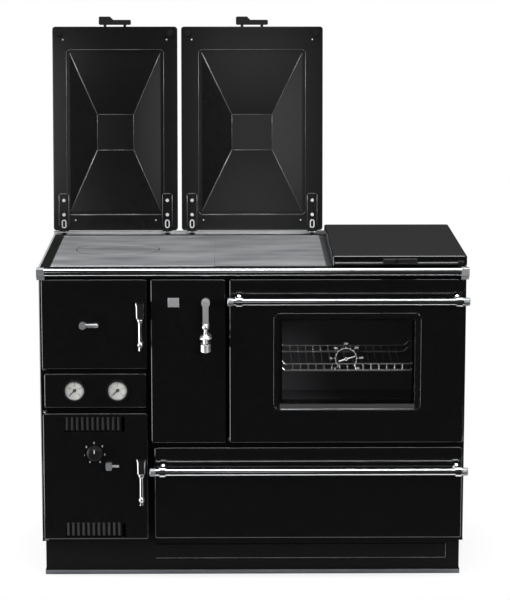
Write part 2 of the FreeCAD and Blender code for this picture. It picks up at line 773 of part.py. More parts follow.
RING_AT = (f"{LEFT} + ring_lid_x", "ring_lid_y")
ring_step = f"({HOB_Z[1]} - ring_lid_step)"
past_plate = f"{HOB_Z[1]} + {PAST}"
plate = slab("left_plate_slab", (HOB_X[0], HOB_SPLIT), HOB_Y, HOB_Z)
dress(plate, "Fillet", "hob_edge", on("ZMax"))
node("hob_plate_left", cut("hob_plate_left", plate, [
    rod("ring_seat", "z", "ring_lid_radius + hob_play", (ring_step, past_plate), RING_AT),
    rod("ring_hole", "z", "ring_lid_radius - ring_lid_lap", (f"{HOB_Z[0]} - {PAST}", past_plate), RING_AT)]))
ring_disc = fuse("ring_disc", [
    rod("ring_top", "z", "ring_lid_radius", (ring_step, HOB_Z[1]), RING_AT),
    rod("ring_plug", "z", "ring_lid_radius - ring_lid_lap - hob_play", (HOB_Z[0], ring_step), RING_AT)])
notch_z = (f"{ring_step} - {PAST}", past_plate)
notches = [rod("ring_notch", "z", "ring_notch_radius", notch_z,
               (f"{RING_AT[0]} + ring_lid_radius", RING_AT[1]))]
for name, sign in (("front", "-"), ("back", "+")):
    notches.append(rod("ring_mark_" + name, "z", "ring_mark_radius", notch_z,
                       (RING_AT[0], f"{RING_AT[1]} {sign} ring_lid_radius")))
node("hob_ring_lid", cut("hob_ring_lid", ring_disc, notches))

plate_depth = f"({HOB_Y[1]}) - ({HOB_Y[0]})"
plate_width = f"({HOB_X[1]}) - ({HOB_SPLIT})"
plate_height = "hob_seat + hob_rise"
right_plate = extrude("right_plate_slab", "XZ_Plane", [
    ("0", "0"), (plate_width, "0"), (plate_width, "hob_seat"),
    (f"{plate_width} - hob_end_slope", plate_height), ("0", plate_height)], plate_depth)
place(right_plate, HOB_SPLIT, HOB_Y[1], HOB_Z[0])
node("hob_plate_right", right_plate)


# Fixed front panels: middle panel with the damper's bearing, gauge panel with two gauges

def panel(name, x, z, hinge=None):
    """Enamelled front panel; hinge names the back edge that is chamfered to clear the frame."""
    body = slab(name, x, (FRONT, DOOR_BACK), z)
    if hinge:
        dress(body, "Chamfer", "hinge_chamfer", on("YMax"), on(hinge))
    dress(body, "Fillet", "door_corner", along("Y"))
    return dress(body, "Fillet", "door_edge", on("YMin"))


panel_cut_y = (f"{FRONT} - {PAST}", f"{DOOR_BACK} + {PAST}")
seat_y = (DOOR_BACK, FRAME_FRONT)


def panel_seats(name, x, z):
    """Four spacer pads that close the door gap behind a fixed panel."""
    pads = []
    pad_height = "door_corner * 4"
    for i, pad_x in enumerate(((x[0], f"{x[0]} + door_lap"), (f"{x[1]} - door_lap", x[1]))):
        for j, pad_z in enumerate(((z[0], f"{z[0]} + {pad_height}"), (f"{z[1]} - {pad_height}", z[1]))):
            pads.append(block(f"{name}_pad_{i}{j}", grown(pad_x, "-door_corner"), seat_y,
                              grown(pad_z, "-door_corner")))
    return pads


middle_x = (MIDDLE_LEFT, MIDDLE_RIGHT)
middle_z = (UPPER_BOTTOM, UPPER_TOP)
node("middle_panel", cut("middle_panel", fuse("middle_body", [panel("middle_slab", middle_x, middle_z)]
                                              + panel_seats("middle", middle_x, middle_z)), [
    rod("damper_panel_hole", "y", "damper_shaft_radius + running_gap", panel_cut_y, (DAMPER_X, DAMPER_Z))]))

gauge_x = (f"{FIRE_LEFT} + column_gap / 2", f"{FIRE_RIGHT} - column_gap / 4")
gauge_z = (GAUGE_BOTTOM, GAUGE_TOP)
node("gauge_panel", cut("gauge_panel", fuse("gauge_body", [panel("gauge_slab", gauge_x, gauge_z)]
                                            + panel_seats("gauge", gauge_x, gauge_z)), [
    rod(name + "_panel_hole", "y", "gauge_radius + gauge_play", panel_cut_y, (x, GAUGE_Z))
    for name, x in GAUGE_X.items()]))

GAUGE_FRONT = f"({FRONT} - gauge_bezel_height)"
DIAL_Y = f"({GAUGE_FRONT} + gauge_recess)"
cases = []
glasses = []
for name, x in GAUGE_X.items():
    at = (x, GAUGE_Z)
    case = fuse(name + "_case", [
        rod(name + "_barrel", "y", "gauge_radius", (FRONT, f"{FRONT} + gauge_length"), at),
        rod(name + "_bezel", "y", "gauge_radius + gauge_bezel", (GAUGE_FRONT, FRONT), at)])
    bowl = cut(name + "_bowl", case, [
        rod(name + "_recess", "y", "gauge_radius - gauge_wall", (f"{GAUGE_FRONT} - {PAST}", DIAL_Y), at)])
    stem = rod(name + "_spindle", "y", "gauge_spindle", (f"{DIAL_Y} - gauge_spindle_height", DIAL_Y), at)
    cases.append(fuse(name + "_gauge", [bowl, stem]))
    glasses.append(rod(name + "_glass", "y", "gauge_radius - gauge_wall - running_gap",
                       (GAUGE_FRONT, f"{GAUGE_FRONT} + gauge_glass_sheet"), at))
    blade = fuse(name + "_blade", [
        block(name + "_pointer", ("-gauge_needle_tail", "gauge_needle_length"), ("-needle_sheet", "0"),
              ("-gauge_needle_width / 2", "gauge_needle_width / 2")),
        rod(name + "_hub", "y", "gauge_hub_radius", ("-needle_sheet", "0"), ("0", "0"))])
    eye_y = (f"-needle_sheet - {PAST}", PAST)
    eye = rod(name + "_eye", "y", "gauge_spindle + running_gap", eye_y, ("0", "0"))
    needle = cut(name + "_needle_cut", blade, [eye])
    needle.Placement = Placement(Vector(), Rotation(Vector(0, -1, 0), 1))
    bind(needle, "Placement.Rotation.Angle", "gauge_needle_angle")
    place(needle, x, f"{DIAL_Y} - gauge_needle_lift", GAUGE_Z)
    node(name + "_needle", needle)
node("gauge_cases", gather("gauge_cases", cases))
node("gauge_glasses", gather("gauge_glasses", glasses))


# Hinge lugs with pins for the three doors

def upright_lug(name, z, pin_z):
    plate = block(name + "_plate", (f"{HINGE_X} - lug_half", f"{HINGE_X} + lug_half"),
                  (f"{HINGE_Y} - lug_half", FRAME_FRONT), z)
    return fuse(name, [plate, rod(name + "_pin", "z", "hinge_pin_radius", pin_z, (HINGE_X, HINGE_Y))])


lugs = []
for name, low, high in (("fire", FIRE_BOTTOM, UPPER_TOP), ("ash", "ash_door_bottom", ASH_TOP)):
    under = (f"{low} - lug_play - lug_thickness", f"{low} - lug_play")
    over = (f"{high} + lug_play", f"{high} + lug_play + lug_thickness")
    lugs.append(upright_lug(name + "_low_lug", under, (under[0], f"{low} + hinge_pin_length")))
    lugs.append(upright_lug(name + "_high_lug", over, (f"{high} - hinge_pin_length", over[1])))
for name, side, outer, inner in (("left", OVEN_LEFT, "-", "+"), ("right", OVEN_RIGHT, "+", "-")):
    near = f"{side} {outer} lug_play"
    far = f"{near} {outer} lug_thickness"
    tip = f"{side} {inner} hinge_pin_length"
    lug_x = (far, near) if name == "left" else (near, far)
    pin_x = (far, tip) if name == "left" else (tip, far)
    plate = block(f"oven_{name}_plate", lug_x, (f"{HINGE_Y} - lug_half", FRAME_FRONT),
                  (f"{OVEN_HINGE_Z} - lug_half", f"{OVEN_HINGE_Z} + lug_half"))
    lugs.append(fuse(f"oven_{name}_lug", [
        plate, rod(f"oven_{name}_pin", "x", "hinge_pin_radius", pin_x, (HINGE_Y, OVEN_HINGE_Z))]))
node("door_hinge_lugs", gather("door_hinge_lugs", lugs))


# Firebox door and ash door

PIN_BORE = "(hinge_pin_radius + running_gap)"


def upright_bores(name, low, high):
    depth = "(hinge_pin_length + lug_play)"
    at = (HINGE_X, HINGE_Y)
    return [rod(name + "_low_bore", "z", PIN_BORE, (f"{low} - {PAST}", f"{low} + {depth}"), at),
            rod(name + "_high_bore", "z", PIN_BORE, (f"{high} - {depth}", f"{high} + {PAST}"), at)]


def spindle_bore(name, x, z):
    end = f"{FRONT} + spindle_depth + spindle_end_play"
    return rod(name + "_bore", "y", BORE_RADIUS, (f"{FRONT} - {PAST}", end), (x, z))


def spindle(name, x, z):
    span = (f"{FRONT} - face_play", f"{FRONT} + spindle_depth")
    return rod(name + "_spindle", "y", "spindle_radius", span, (x, z))


LATCH_X = f"({FIRE_RIGHT} - latch_inset)"
FIRE_LATCH_Z = f"({UPPER_TOP} - fire_latch_drop)"
ASH_LATCH_Z = f"({ASH_TOP} - ash_latch_drop)"
AIR_AT = (f"{FIRE_LEFT} + air_x", f"{FIRE_BOTTOM} + air_z")
KNOB_AT = (f"{FIRE_LEFT} + knob_x", "ash_door_bottom + knob_z")
FLAP_AT = (f"{FIRE_LEFT} + flap_x", "ash_door_bottom + flap_z")

fire_x = (FIRE_LEFT, FIRE_RIGHT)
node("firebox_door_panel", cut("fire_door", panel("fire_slab", fire_x, (FIRE_BOTTOM, UPPER_TOP), "XMin"),
                               upright_bores("fire", FIRE_BOTTOM, UPPER_TOP) + [
    spindle_bore("fire_latch", LATCH_X, FIRE_LATCH_Z), spindle_bore("air", *AIR_AT)]))
inner_y = (DOOR_BACK, f"{DOOR_BACK} + inner_plate")
heat_plate = slab("heat_plate_slab", grown(HOLE_X, "-inner_play"), inner_y,
                  grown(FIRE_HOLE_Z, "-inner_play"))
dress(heat_plate, "Fillet", "door_corner", along("Y"))
node("firebox_door_inner", cut("heat_plate", heat_plate, [
    block("heat_plate_dish", grown(HOLE_X, "-inner_play - inner_rib"),
          (f"{inner_y[1]} - inner_plate / 3", f"{inner_y[1]} + {PAST}"),
          grown(FIRE_HOLE_Z, "-inner_play - inner_rib"))]))

ash_body = slab("ash_slab", fire_x, (FRONT, DOOR_BACK), ("ash_door_bottom", ASH_TOP))
dress(ash_body, "Chamfer", "hinge_chamfer", on("YMax"), on("XMin"))
dress(ash_body, "Fillet", "door_corner", along("Y"))
dress(ash_body, "Fillet", "door_edge", on("YMin"))
ash_height = f"({ASH_TOP} - ash_door_bottom)"
louvre_x = ("louvre_left", "louvre_left + louvre_width")
for low in ("louvre_bottom_gap", f"{ash_height} - louvre_top_gap - louvre_height"):
    slot = pocket(ash_body, louvre_x, (low, f"{low} + louvre_height"))
    row = ash_body.newObject("PartDesign::LinearPattern", "louvre_row")
    row.Originals = [slot]
    row.Direction = (slot.Profile[0], ["H_Axis"])
    bind(row, "Length", "(louvre_count - 1) * louvre_pitch")
    bind(row, "Occurrences", "louvre_count")
    ash_body.Tip = row
node("ash_door_panel", cut("ash_door", ash_body, upright_bores("ash", "ash_door_bottom", ASH_TOP) + [
    spindle_bore("ash_latch", LATCH_X, ASH_LATCH_Z), spindle_bore("knob", *KNOB_AT),
    spindle_bore("flap", *FLAP_AT)]))


def latch(name, z):
    """Latch handle: block on a spindle, with a thin bar hanging between two ball rings."""
    block_y = (f"{FRONT} - face_play - latch_block_depth", f"{FRONT} - face_play")
    bar_y = f"({FRONT} - face_play - latch_block_depth / 2)"
    block_x = (f"{LATCH_X} - latch_block_width / 2", f"{LATCH_X} + latch_block_width / 2")
    top = f"({z} + latch_block_height / 2)"
    head = slab(name + "_block", block_x, block_y, (f"{top} - latch_block_height", top))
    dress(head, "Fillet", "door_edge", along("Z"))
    cap = slab(name + "_cap", grown(block_x, "latch_cap_lip"),
               (f"{block_y[0]} - latch_cap_lip", block_y[1]), (top, f"{top} + latch_cap_height"))
    dress(cap, "Fillet", "door_edge", along("Z"))
    near = f"{z} - latch_ball_near"
    far = f"{z} - latch_ball_far"
    return fuse(name, [
        head, cap, spindle(name, LATCH_X, z),
        rod(name + "_bar", "z", "latch_bar_radius", (f"{z} - latch_tail", z), (LATCH_X, bar_y)),
        ball(name + "_near", "latch_ball_radius", LATCH_X, bar_y, near),
        ball(name + "_far", "latch_ball_radius", LATCH_X, bar_y, far)])


node("firebox_latch", latch("fire_latch", FIRE_LATCH_Z))
node("ash_latch", latch("ash_latch", ASH_LATCH_Z))

rosette_y = (f"{FRONT} - face_play - air_rosette_height", f"{FRONT} - face_play")
air_bar_y = f"({FRONT} - face_play - air_rosette_height / 2)"
air_end = f"{AIR_AT[0]} + air_bar_length"
node("firebox_air_lever", fuse("air_lever", [
    rod("air_rosette_disc", "y", "air_rosette", rosette_y, AIR_AT), spindle("air", *AIR_AT),
    taper("air_bar", "x", ("air_bar_radius * 0.8", "air_bar_radius"), (AIR_AT[0], air_end),
          (air_bar_y, AIR_AT[1])),
    ball("air_tip", "air_bar_radius", air_end, air_bar_y, AIR_AT[1])]))

knob = turned("knob_turn", [
    ("0", "0"), ("knob_skirt_radius", "0"), ("knob_skirt_radius", "knob_skirt_height"),
    ("knob_radius", "knob_skirt_height * 1.4"), ("knob_radius * 0.9", "knob_height - 2"),
    ("knob_radius * 0.8", "knob_height"), ("0", "knob_height")])
knob.Placement = Placement(Vector(), Rotation(Vector(1, 0, 0), 90))
place(knob, KNOB_AT[0], f"{FRONT} - face_play", KNOB_AT[1])
node("thermostat_knob", fuse("thermostat_knob", [knob, spindle("knob", *KNOB_AT)]))

flap_y = (f"{FRONT} - face_play - flap_block_depth", f"{FRONT} - face_play")
flap_tip_y = f"({FRONT} - face_play - flap_block_depth / 2)"
flap_end = f"{FLAP_AT[0]} + flap_tip_length"
flap_head = slab("flap_block",
                 (f"{FLAP_AT[0]} - flap_block_width / 2", f"{FLAP_AT[0]} + flap_block_width / 2"), flap_y,
                 (f"{FLAP_AT[1]} - flap_block_height / 2", f"{FLAP_AT[1]} + flap_block_height / 2"))
dress(flap_head, "Fillet", "door_edge", along("Y"))
node("ash_air_lever", fuse("flap_lever", [
    flap_head, spindle("flap", *FLAP_AT),
    rod("flap_tip", "x", "flap_tip_radius", (FLAP_AT[0], flap_end), (flap_tip_y, FLAP_AT[1])),
    ball("flap_end", "flap_tip_radius", flap_end, flap_tip_y, FLAP_AT[1])]))


# Flue damper: shaft and flap behind the middle panel, lever with knob in front

DAMPER_FACE = f"({FRONT} - face_play)"
shaft_end = f"{DAMPER_FACE} + damper_shaft_length"
node("damper_flap", fuse("damper_flap", [
    rod("damper_shaft", "y", "damper_shaft_radius", (DAMPER_FACE, shaft_end), (DAMPER_X, DAMPER_Z)),
    slab("damper_plate", (f"{DAMPER_X} - damper_flap_width / 2", f"{DAMPER_X} + damper_flap_width / 2"),
         (f"{shaft_end} - damper_flap_length", shaft_end),
         (f"{DAMPER_Z} - damper_flap_sheet / 2", f"{DAMPER_Z} + damper_flap_sheet / 2"))]))

grip_y = f"({DAMPER_FACE} - damper_collar_radius)"
bar_slab = slab("damper_bar", (f"{DAMPER_X} - damper_bar_width / 2", f"{DAMPER_X} + damper_bar_width / 2"),
                (f"{grip_y} - damper_bar_sheet / 2", f"{grip_y} + damper_bar_sheet / 2"),
                (f"{DAMPER_Z} - damper_bar_reach", f"{DAMPER_Z} + damper_bar_width / 2"))
dress(bar_slab, "Fillet", "damper_bar_width / 2.2", along("Y"), on("ZMax"))
grip = turned("damper_grip", [
    ("0", "0"), ("damper_knob_radius - 2", "0"), ("damper_knob_radius", "2"),
    ("damper_knob_radius", "damper_knob_end - damper_knob_top"),
    ("damper_neck_radius * 1.6", "damper_knob_end - damper_knob_top + 3"),
    ("damper_neck_radius * 1.6", "damper_knob_end - damper_collar_drop - 5"),
    ("damper_collar_radius - 1", "damper_knob_end - damper_collar_drop - 3"),
    ("damper_collar_radius - 1", "damper_knob_end - damper_collar_drop"),
    ("damper_neck_radius", "damper_knob_end - damper_collar_drop + 9"),
    ("damper_neck_radius", "damper_knob_end - damper_bar_reach"),
    ("0", "damper_knob_end - damper_bar_reach")])
place(grip, DAMPER_X, grip_y, f"{DAMPER_Z} - damper_knob_end")
node("damper_lever", fuse("damper_lever", [
    rod("damper_hub", "y", "damper_hub_radius", (grip_y, DAMPER_FACE), (DAMPER_X, DAMPER_Z)),
    bar_slab, grip,
    ball("damper_ball", "damper_ball_radius", DAMPER_X, grip_y, f"{DAMPER_Z} - damper_ball_drop")]))


# Chrome tubes on ring brackets

def ring_bracket(name, x, y_face, z):
    tube_y = f"({y_face} - tube_standoff)"
    ring_x = (f"{x} - ring_width / 2", f"{x} + ring_width / 2")
    body = fuse(name + "_body", [
        rod(name + "_stem", "y", "ring_stem", (tube_y, y_face), (x, z)),
        taper(name + "_foot", "y", ("ring_stem", "ring_foot"), (f"{y_face} - ring_stem", y_face), (x, z)),
        rod(name + "_ring", "x", "ring_radius", ring_x, (tube_y, z))])
    return cut(name, body, [rod(name + "_bore", "x", "tube_radius + running_gap",
                                (f"{x} - ring_width", f"{x} + ring_width"), (tube_y, z))])


def handle(label, x, rings, z):
    """Tube with turned end caps, carried by two ring brackets on a door's front face."""
    length = f"(({x[1]}) - ({x[0]}))"
    tube = turned(label + "_tube", [
        ("0", "0"), ("tube_cap_radius - tube_cap_edge", "0"), ("tube_cap_radius", "tube_cap_edge"),
        ("tube_cap_radius", "tube_cap_width"), ("tube_radius", "tube_cap_width"),
        ("tube_radius", f"{length} - tube_cap_width"), ("tube_cap_radius", f"{length} - tube_cap_width"),
        ("tube_cap_radius", f"{length} - tube_cap_edge"), ("tube_cap_radius - tube_cap_edge", length),
        ("0", length)])
    stand(tube, "x", x[0], (f"{FRONT} - tube_standoff", z))
    brackets = [ring_bracket(f"{label}_ring_{i}", ring_x, FRONT, z) for i, ring_x in enumerate(rings)]
    return node(label, gather(label, [tube] + brackets))


# Oven door: panel with bevelled window, glass between panel and inner plate, thermometer on the glass

oven_door_x = (OVEN_LEFT, OVEN_RIGHT)
oven_door_z = (UPPER_BOTTOM, UPPER_TOP)
WINDOW_X = (f"({OVEN_X[0]} + window_left)", f"({OVEN_X[1]} - window_right)")
WINDOW_Z = (f"({UPPER_BOTTOM} + window_bottom)", f"({UPPER_TOP} - window_top)")
GLASS_Y = (f"({DOOR_BACK} - glass_sheet)", DOOR_BACK)
PANE_X = grown(WINDOW_X, "-window_bevel")
PANE_Z = grown(WINDOW_Z, "-window_bevel")
window = slab("window_tool", PANE_X, panel_cut_y, PANE_Z)
dress(window, "Fillet", "window_corner - window_bevel", along("Y"))
bevel = slab("bevel_tool", WINDOW_X, (FRONT, f"{FRONT} + window_bevel_depth"), WINDOW_Z)
dress(bevel, "Fillet", "window_corner", along("Y"))
dress(bevel, "Chamfer", "window_bevel_depth - 0.05", on("YMax"))
bevel.Tip.ChamferType = "Two distances"
bind(bevel.Tip, "Size2", "window_bevel")
oven_bores = []
for name, span in (("left", (f"{OVEN_LEFT} - {PAST}", f"{OVEN_LEFT} + hinge_pin_length + lug_play")),
                   ("right", (f"{OVEN_RIGHT} - hinge_pin_length - lug_play", f"{OVEN_RIGHT} + {PAST}"))):
    oven_bores.append(rod(f"oven_{name}_bore", "x", PIN_BORE, span, (HINGE_Y, OVEN_HINGE_Z)))
glass_x = grown(PANE_X, "glass_lap")
glass_z = grown(PANE_Z, "glass_lap")
rebate = block("glass_rebate", glass_x, (GLASS_Y[0], f"{DOOR_BACK} + {PAST}"), glass_z)
oven_panel = panel("oven_slab_door", oven_door_x, oven_door_z, "ZMin")
node("oven_door_panel", cut("oven_door", oven_panel, oven_bores + [window, bevel, rebate]))

THERMO_AT = (f"{WINDOW_X[0]} + thermo_x", f"{WINDOW_Z[0]} + thermo_z")
THERMO_FRONT = f"({GLASS_Y[0]} - thermo_height)"
node("oven_glass", fuse("oven_glass", [
    slab("glass_slab", glass_x, GLASS_Y, glass_z),
    rod("thermo_boss", "y", "thermo_radius * 0.5", (THERMO_FRONT, GLASS_Y[0]), THERMO_AT),
    rod("thermo_pin", "y", "thermo_spindle", (f"{THERMO_FRONT} - needle_sheet * 2", THERMO_FRONT),
        THERMO_AT)]))
thermo_length = "thermo_needle_length + thermo_needle_tail"
thermo_eye_at = ("thermo_needle_tail", "thermo_needle_width / 2")
thermo_blade = fuse("thermo_blade", [
    extrude("thermo_pointer", "XZ_Plane", [
        ("0", "0"), (thermo_length, "thermo_needle_width * 0.25"),
        (thermo_length, "thermo_needle_width * 0.75"), ("0", "thermo_needle_width")], "needle_sheet"),
    rod("thermo_hub", "y", "thermo_radius * 0.6", ("-needle_sheet", "0"), thermo_eye_at)])
thermo_cut = cut("thermo_cut", thermo_blade, [
    rod("thermo_eye", "y", "thermo_spindle + running_gap", (f"-needle_sheet - {PAST}", PAST), thermo_eye_at)])
place(thermo_cut, "-thermo_needle_tail", "0", "-thermo_needle_width / 2")
thermo = gather("thermo_needle", [thermo_cut])
thermo.Placement = Placement(Vector(), Rotation(Vector(0, -1, 0), 1))
bind(thermo, "Placement.Rotation.Angle", "thermo_needle_angle")
place(thermo, THERMO_AT[0], f"{THERMO_FRONT} - face_play / 2", THERMO_AT[1])
node("thermometer_needle", thermo)

plate_x = grown(OVEN_X, "-inner_play")
plate_z = grown(OVEN_Z, "-inner_play")
inner_slab = slab("oven_inner_slab", plate_x, inner_y, plate_z)
dress(inner_slab, "Fillet", "door_corner", along("Y"))
inner_cut_y = (f"{DOOR_BACK} - {PAST}", f"{inner_y[1]} + {PAST}")
node("oven_door_inner", cut("oven_inner", inner_slab, [
    block("inner_window", grown(PANE_X, "-plate_window_margin"), inner_cut_y,
          grown(PANE_Z, "-plate_window_margin"))]))

handle("oven_handle", (f"{OVEN_LEFT} - oven_handle_overhang / 2", f"{OVEN_RIGHT} + oven_handle_overhang"),
       (f"{OVEN_LEFT} + oven_ring_left", f"{OVEN_RIGHT} - oven_ring_right"),
       f"({UPPER_TOP} - oven_handle_drop)")


# Wood drawer: enamelled front, open sheet box, two angle runners

node("drawer_front", panel("drawer_slab", (DRAWER_LEFT, OVEN_RIGHT), ("drawer_bottom", DRAWER_TOP)))
box_x = grown(DRAWER_HOLE_X, "-drawer_play")
box_y = (DOOR_BACK, f"{DOOR_BACK} + drawer_depth")
RUNNER_Z = f"({DRAWER_HOLE_Z[0]} + runner_level)"
box_floor = f"({RUNNER_Z} + runner_sheet + slide_gap)"
box_z = (box_floor, f"({box_floor} + drawer_side_height)")
node("drawer_box", cut("drawer_box", slab("drawer_box_slab", box_x, box_y, box_z), [
    block("drawer_hollow", grown(box_x, "-drawer_sheet"), grown(box_y, "-drawer_sheet"),
          (f"{box_z[0]} + drawer_sheet", f"{box_z[1]} + {PAST}"))]))
runners = []
runner_y = (FRAME_BACK, f"{box_y[1]}")
for name, edge, sign in (("left", DRAWER_HOLE_X[0], "+"), ("right", DRAWER_HOLE_X[1], "-")):
    web = [edge, f"{edge} {sign} runner_sheet"]
    flange = [edge, f"{edge} {sign} runner_flange"]
    if sign == "-":
        web.reverse()
        flange.reverse()
    runners.append(fuse(f"runner_{name}", [
        block(f"runner_{name}_web", web, runner_y, ("plinth_height", RUNNER_Z)),
        block(f"runner_{name}_flange", flange, runner_y, (RUNNER_Z, f"{RUNNER_Z} + runner_sheet"))]))
node("drawer_runners", gather("drawer_runners", runners))
handle("drawer_handle", grown((DRAWER_LEFT, OVEN_RIGHT), "drawer_handle_overhang"),
       (f"{DRAWER_LEFT} + drawer_ring_left", f"{OVEN_RIGHT} - drawer_ring_right"),
       f"({DRAWER_TOP} - drawer_handle_drop)")


# Top rail along the hob frame's front edge

LID_HINGE_Y = f"({BACK} - lid_hinge_inset)"
LID_FRONT = f"({LID_HINGE_Y} - lid_hinge_back - lid_depth)"
RAIL_Y = f"(min({FRONT}; {LID_FRONT}) - rail_standoff)"
rail_x = (f"{LEFT} + rail_cap_width", f"{RIGHT} - rail_cap_width")
rail_pieces = [rod("rail_tube", "x", "rail_radius", rail_x, (RAIL_Y, "rail_height"))]
cap_reach = "(rail_radius + rail_cap_lip)"
for name, x in (("left", (LEFT, rail_x[0])), ("right", (rail_x[1], RIGHT))):
    cap = slab(f"rail_cap_{name}", x, (f"{RAIL_Y} - {cap_reach}", f"{RAIL_Y} + {cap_reach}"),
               (f"rail_height - {cap_reach}", f"rail_height + {cap_reach}"))
    dress(cap, "Fillet", "panel_round", along("X"))
    arm = block(f"rail_arm_{name}", x, (RAIL_Y, FRONT), (f"{CARCASS_TOP} + 1", "deck_top"))
    rail_pieces.append(fuse(f"rail_bracket_{name}", [cap, arm]))
node("top_rail", gather("top_rail", rail_pieces))


# Lids: built closed about their hinge axis, then turned to the angle at which they stand

LID_HINGE_Z = "(deck_top + lid_hinge_height)"
LID_UNDER = "(lid_clearance - lid_hinge_height)"
LID_Y = ("(-lid_hinge_back - lid_depth)", "(-lid_hinge_back)")
LID_Z = (LID_UNDER, f"({LID_UNDER} + lid_thickness)")
OUTER_LINER = ("liner_outer_margin", "liner_outer_flat")
MIDDLE_LINER = ("liner_middle_margin", "liner_middle_flat")
LIDS = {
    "left": (LEFT, "lid_outer_width", *OUTER_LINER, True),
    "middle": (f"({LEFT} + lid_outer_width + lid_left_gap)",
               "(stove_width - 2 * lid_outer_width - lid_left_gap - lid_gap)", *MIDDLE_LINER, True),
    "right": (f"({RIGHT} - lid_outer_width)", "lid_outer_width", *OUTER_LINER, False),
}


def hang(label, obj, x, is_open):
    obj.Placement = Placement(Vector(), Rotation(Vector(-1, 0, 0), 1))
    bind(obj, "Placement.Rotation.Angle", "lid_open_angle" if is_open else "0")
    place(obj, x, LID_HINGE_Y, LID_HINGE_Z)
    return node(label, obj)


def frustum(name, x, reach, flat_x, flat_reach, z):
    """Four-sided pan between two rectangles; reach counts from the hinge axis towards the handle."""
    wedge = doc.addObject("Part::Wedge", name)
    for prop, span in (("X", x), ("Y", z), ("Z", reach), ("X2", flat_x), ("Z2", flat_reach)):
        bind(wedge, prop + "min", span[0])
        bind(wedge, prop + "max", span[1])
    wedge.Placement = Placement(Vector(), Rotation(Vector(1, 0, 0), 90))
    return wedge


def pressed_liner(name, width, margin, flat):
    """Sheet pressed in one step and then as a shallow pyramid with a flat middle."""
    pan_x = (margin, f"({width} - {margin})")
    reach = ("(lid_hinge_back + liner_hinge_margin)", "(lid_hinge_back + lid_depth - liner_handle_margin)")
    pan_y = (f"-{reach[1]}", f"-{reach[0]}")
    step_z = f"({LID_UNDER} + liner_step)"
    deep_z = f"({step_z} + liner_depth)"
    mid = f"(({reach[0]} + {reach[1]}) / 2)"
    flat_x = (f"({width} - {flat}) / 2", f"({width} + {flat}) / 2")
    flat_reach = (f"({mid} - liner_flat_depth / 2)", f"({mid} + liner_flat_depth / 2)")
    slope_x = grown(pan_x, "-liner_shelf")
    slope_reach = grown(reach, "-liner_shelf")
    wall = "liner_sheet"
    flange = block(name + "_flange", ("lid_sheet", f"{width} - lid_sheet"), grown(LID_Y, "-lid_sheet"),
                   (LID_UNDER, f"{LID_UNDER} + {wall}"))
    outer = fuse(name + "_outer", [
        flange,
        block(name + "_step_outer", grown(pan_x, wall), grown(pan_y, wall),
              (LID_UNDER, f"{step_z} + {wall}")),
        frustum(name + "_pan_outer", grown(slope_x, wall), grown(slope_reach, wall), grown(flat_x, wall),
                grown(flat_reach, wall), (f"{step_z} + {wall} / 2", f"{deep_z} + {wall}"))])
    inner = fuse(name + "_inner", [
        block(name + "_step_inner", pan_x, pan_y, (f"{LID_UNDER} - {PAST}", step_z)),
        frustum(name + "_pan_inner", slope_x, slope_reach, flat_x, flat_reach, (step_z, deep_z))])
    return cut(name, outer, [inner])


def hinge_leaf(name, x):
    """Leaf under the lid's side rim, with two bolt heads and a bored knuckle on the hinge axis."""
    middle = f"({x} + leaf_width / 2)"
    leaf_z = (f"{LID_UNDER} - leaf_sheet", LID_UNDER)
    end = "(-lid_hinge_back - leaf_length)"
    plate = slab(name + "_plate", (x, f"{x} + leaf_width"), (end, "-knuckle_radius - ear_play"), leaf_z)
    dress(plate, "Fillet", "panel_round", along("Z"))
    tongue = (f"{middle} - knuckle_width / 2", f"{middle} + knuckle_width / 2")
    pieces = [plate, block(name + "_tongue", tongue, ("-knuckle_radius * 2", "0"), leaf_z),
              rod(name + "_knuckle", "x", "knuckle_radius", tongue, ("0", "0"))]
    for i in range(2):
        y = f"-lid_hinge_back - leaf_length / 2 - leaf_bolt_shift + ({i} - 0.5) * leaf_bolt_pitch"
        pieces.append(rod(f"{name}_bolt_{i}", "z", "leaf_bolt_radius",
                          (f"{leaf_z[0]} - leaf_bolt_height", leaf_z[0]), (middle, y)))
    return cut(name, fuse(name + "_body", pieces), [
        rod(name + "_eye", "x", PIN_BORE, (f"{tongue[0]} - {PAST}", f"{tongue[1]} + {PAST}"), ("0", "0"))])


def hinge_post(name, x):
    """Forked post on the hob frame that carries the hinge pin of one leaf."""
    middle = f"({x} + leaf_width / 2)"
    gap = "(knuckle_width / 2 + ear_play)"
    outer = f"({gap} + ear_width)"
    foot_z = "(-lid_hinge_height)"
    fork_x = (f"{middle} - {outer}", f"{middle} + {outer}")
    fork_y = ("-ear_radius", "ear_radius")
    pieces = [block(name + "_foot", fork_x, fork_y, (foot_z, f"{foot_z} + post_foot")),
              rod(name + "_pin", "x", "hinge_pin_radius", fork_x, ("0", "0"))]
    for side, ear_x in (("a", (fork_x[0], f"{middle} - {gap}")), ("b", (f"{middle} + {gap}", fork_x[1]))):
        pieces.append(block(f"{name}_ear_{side}", ear_x, fork_y, (foot_z, "0")))
        pieces.append(rod(f"{name}_top_{side}", "x", "ear_radius", ear_x, ("0", "0")))
    return fuse(name, pieces)


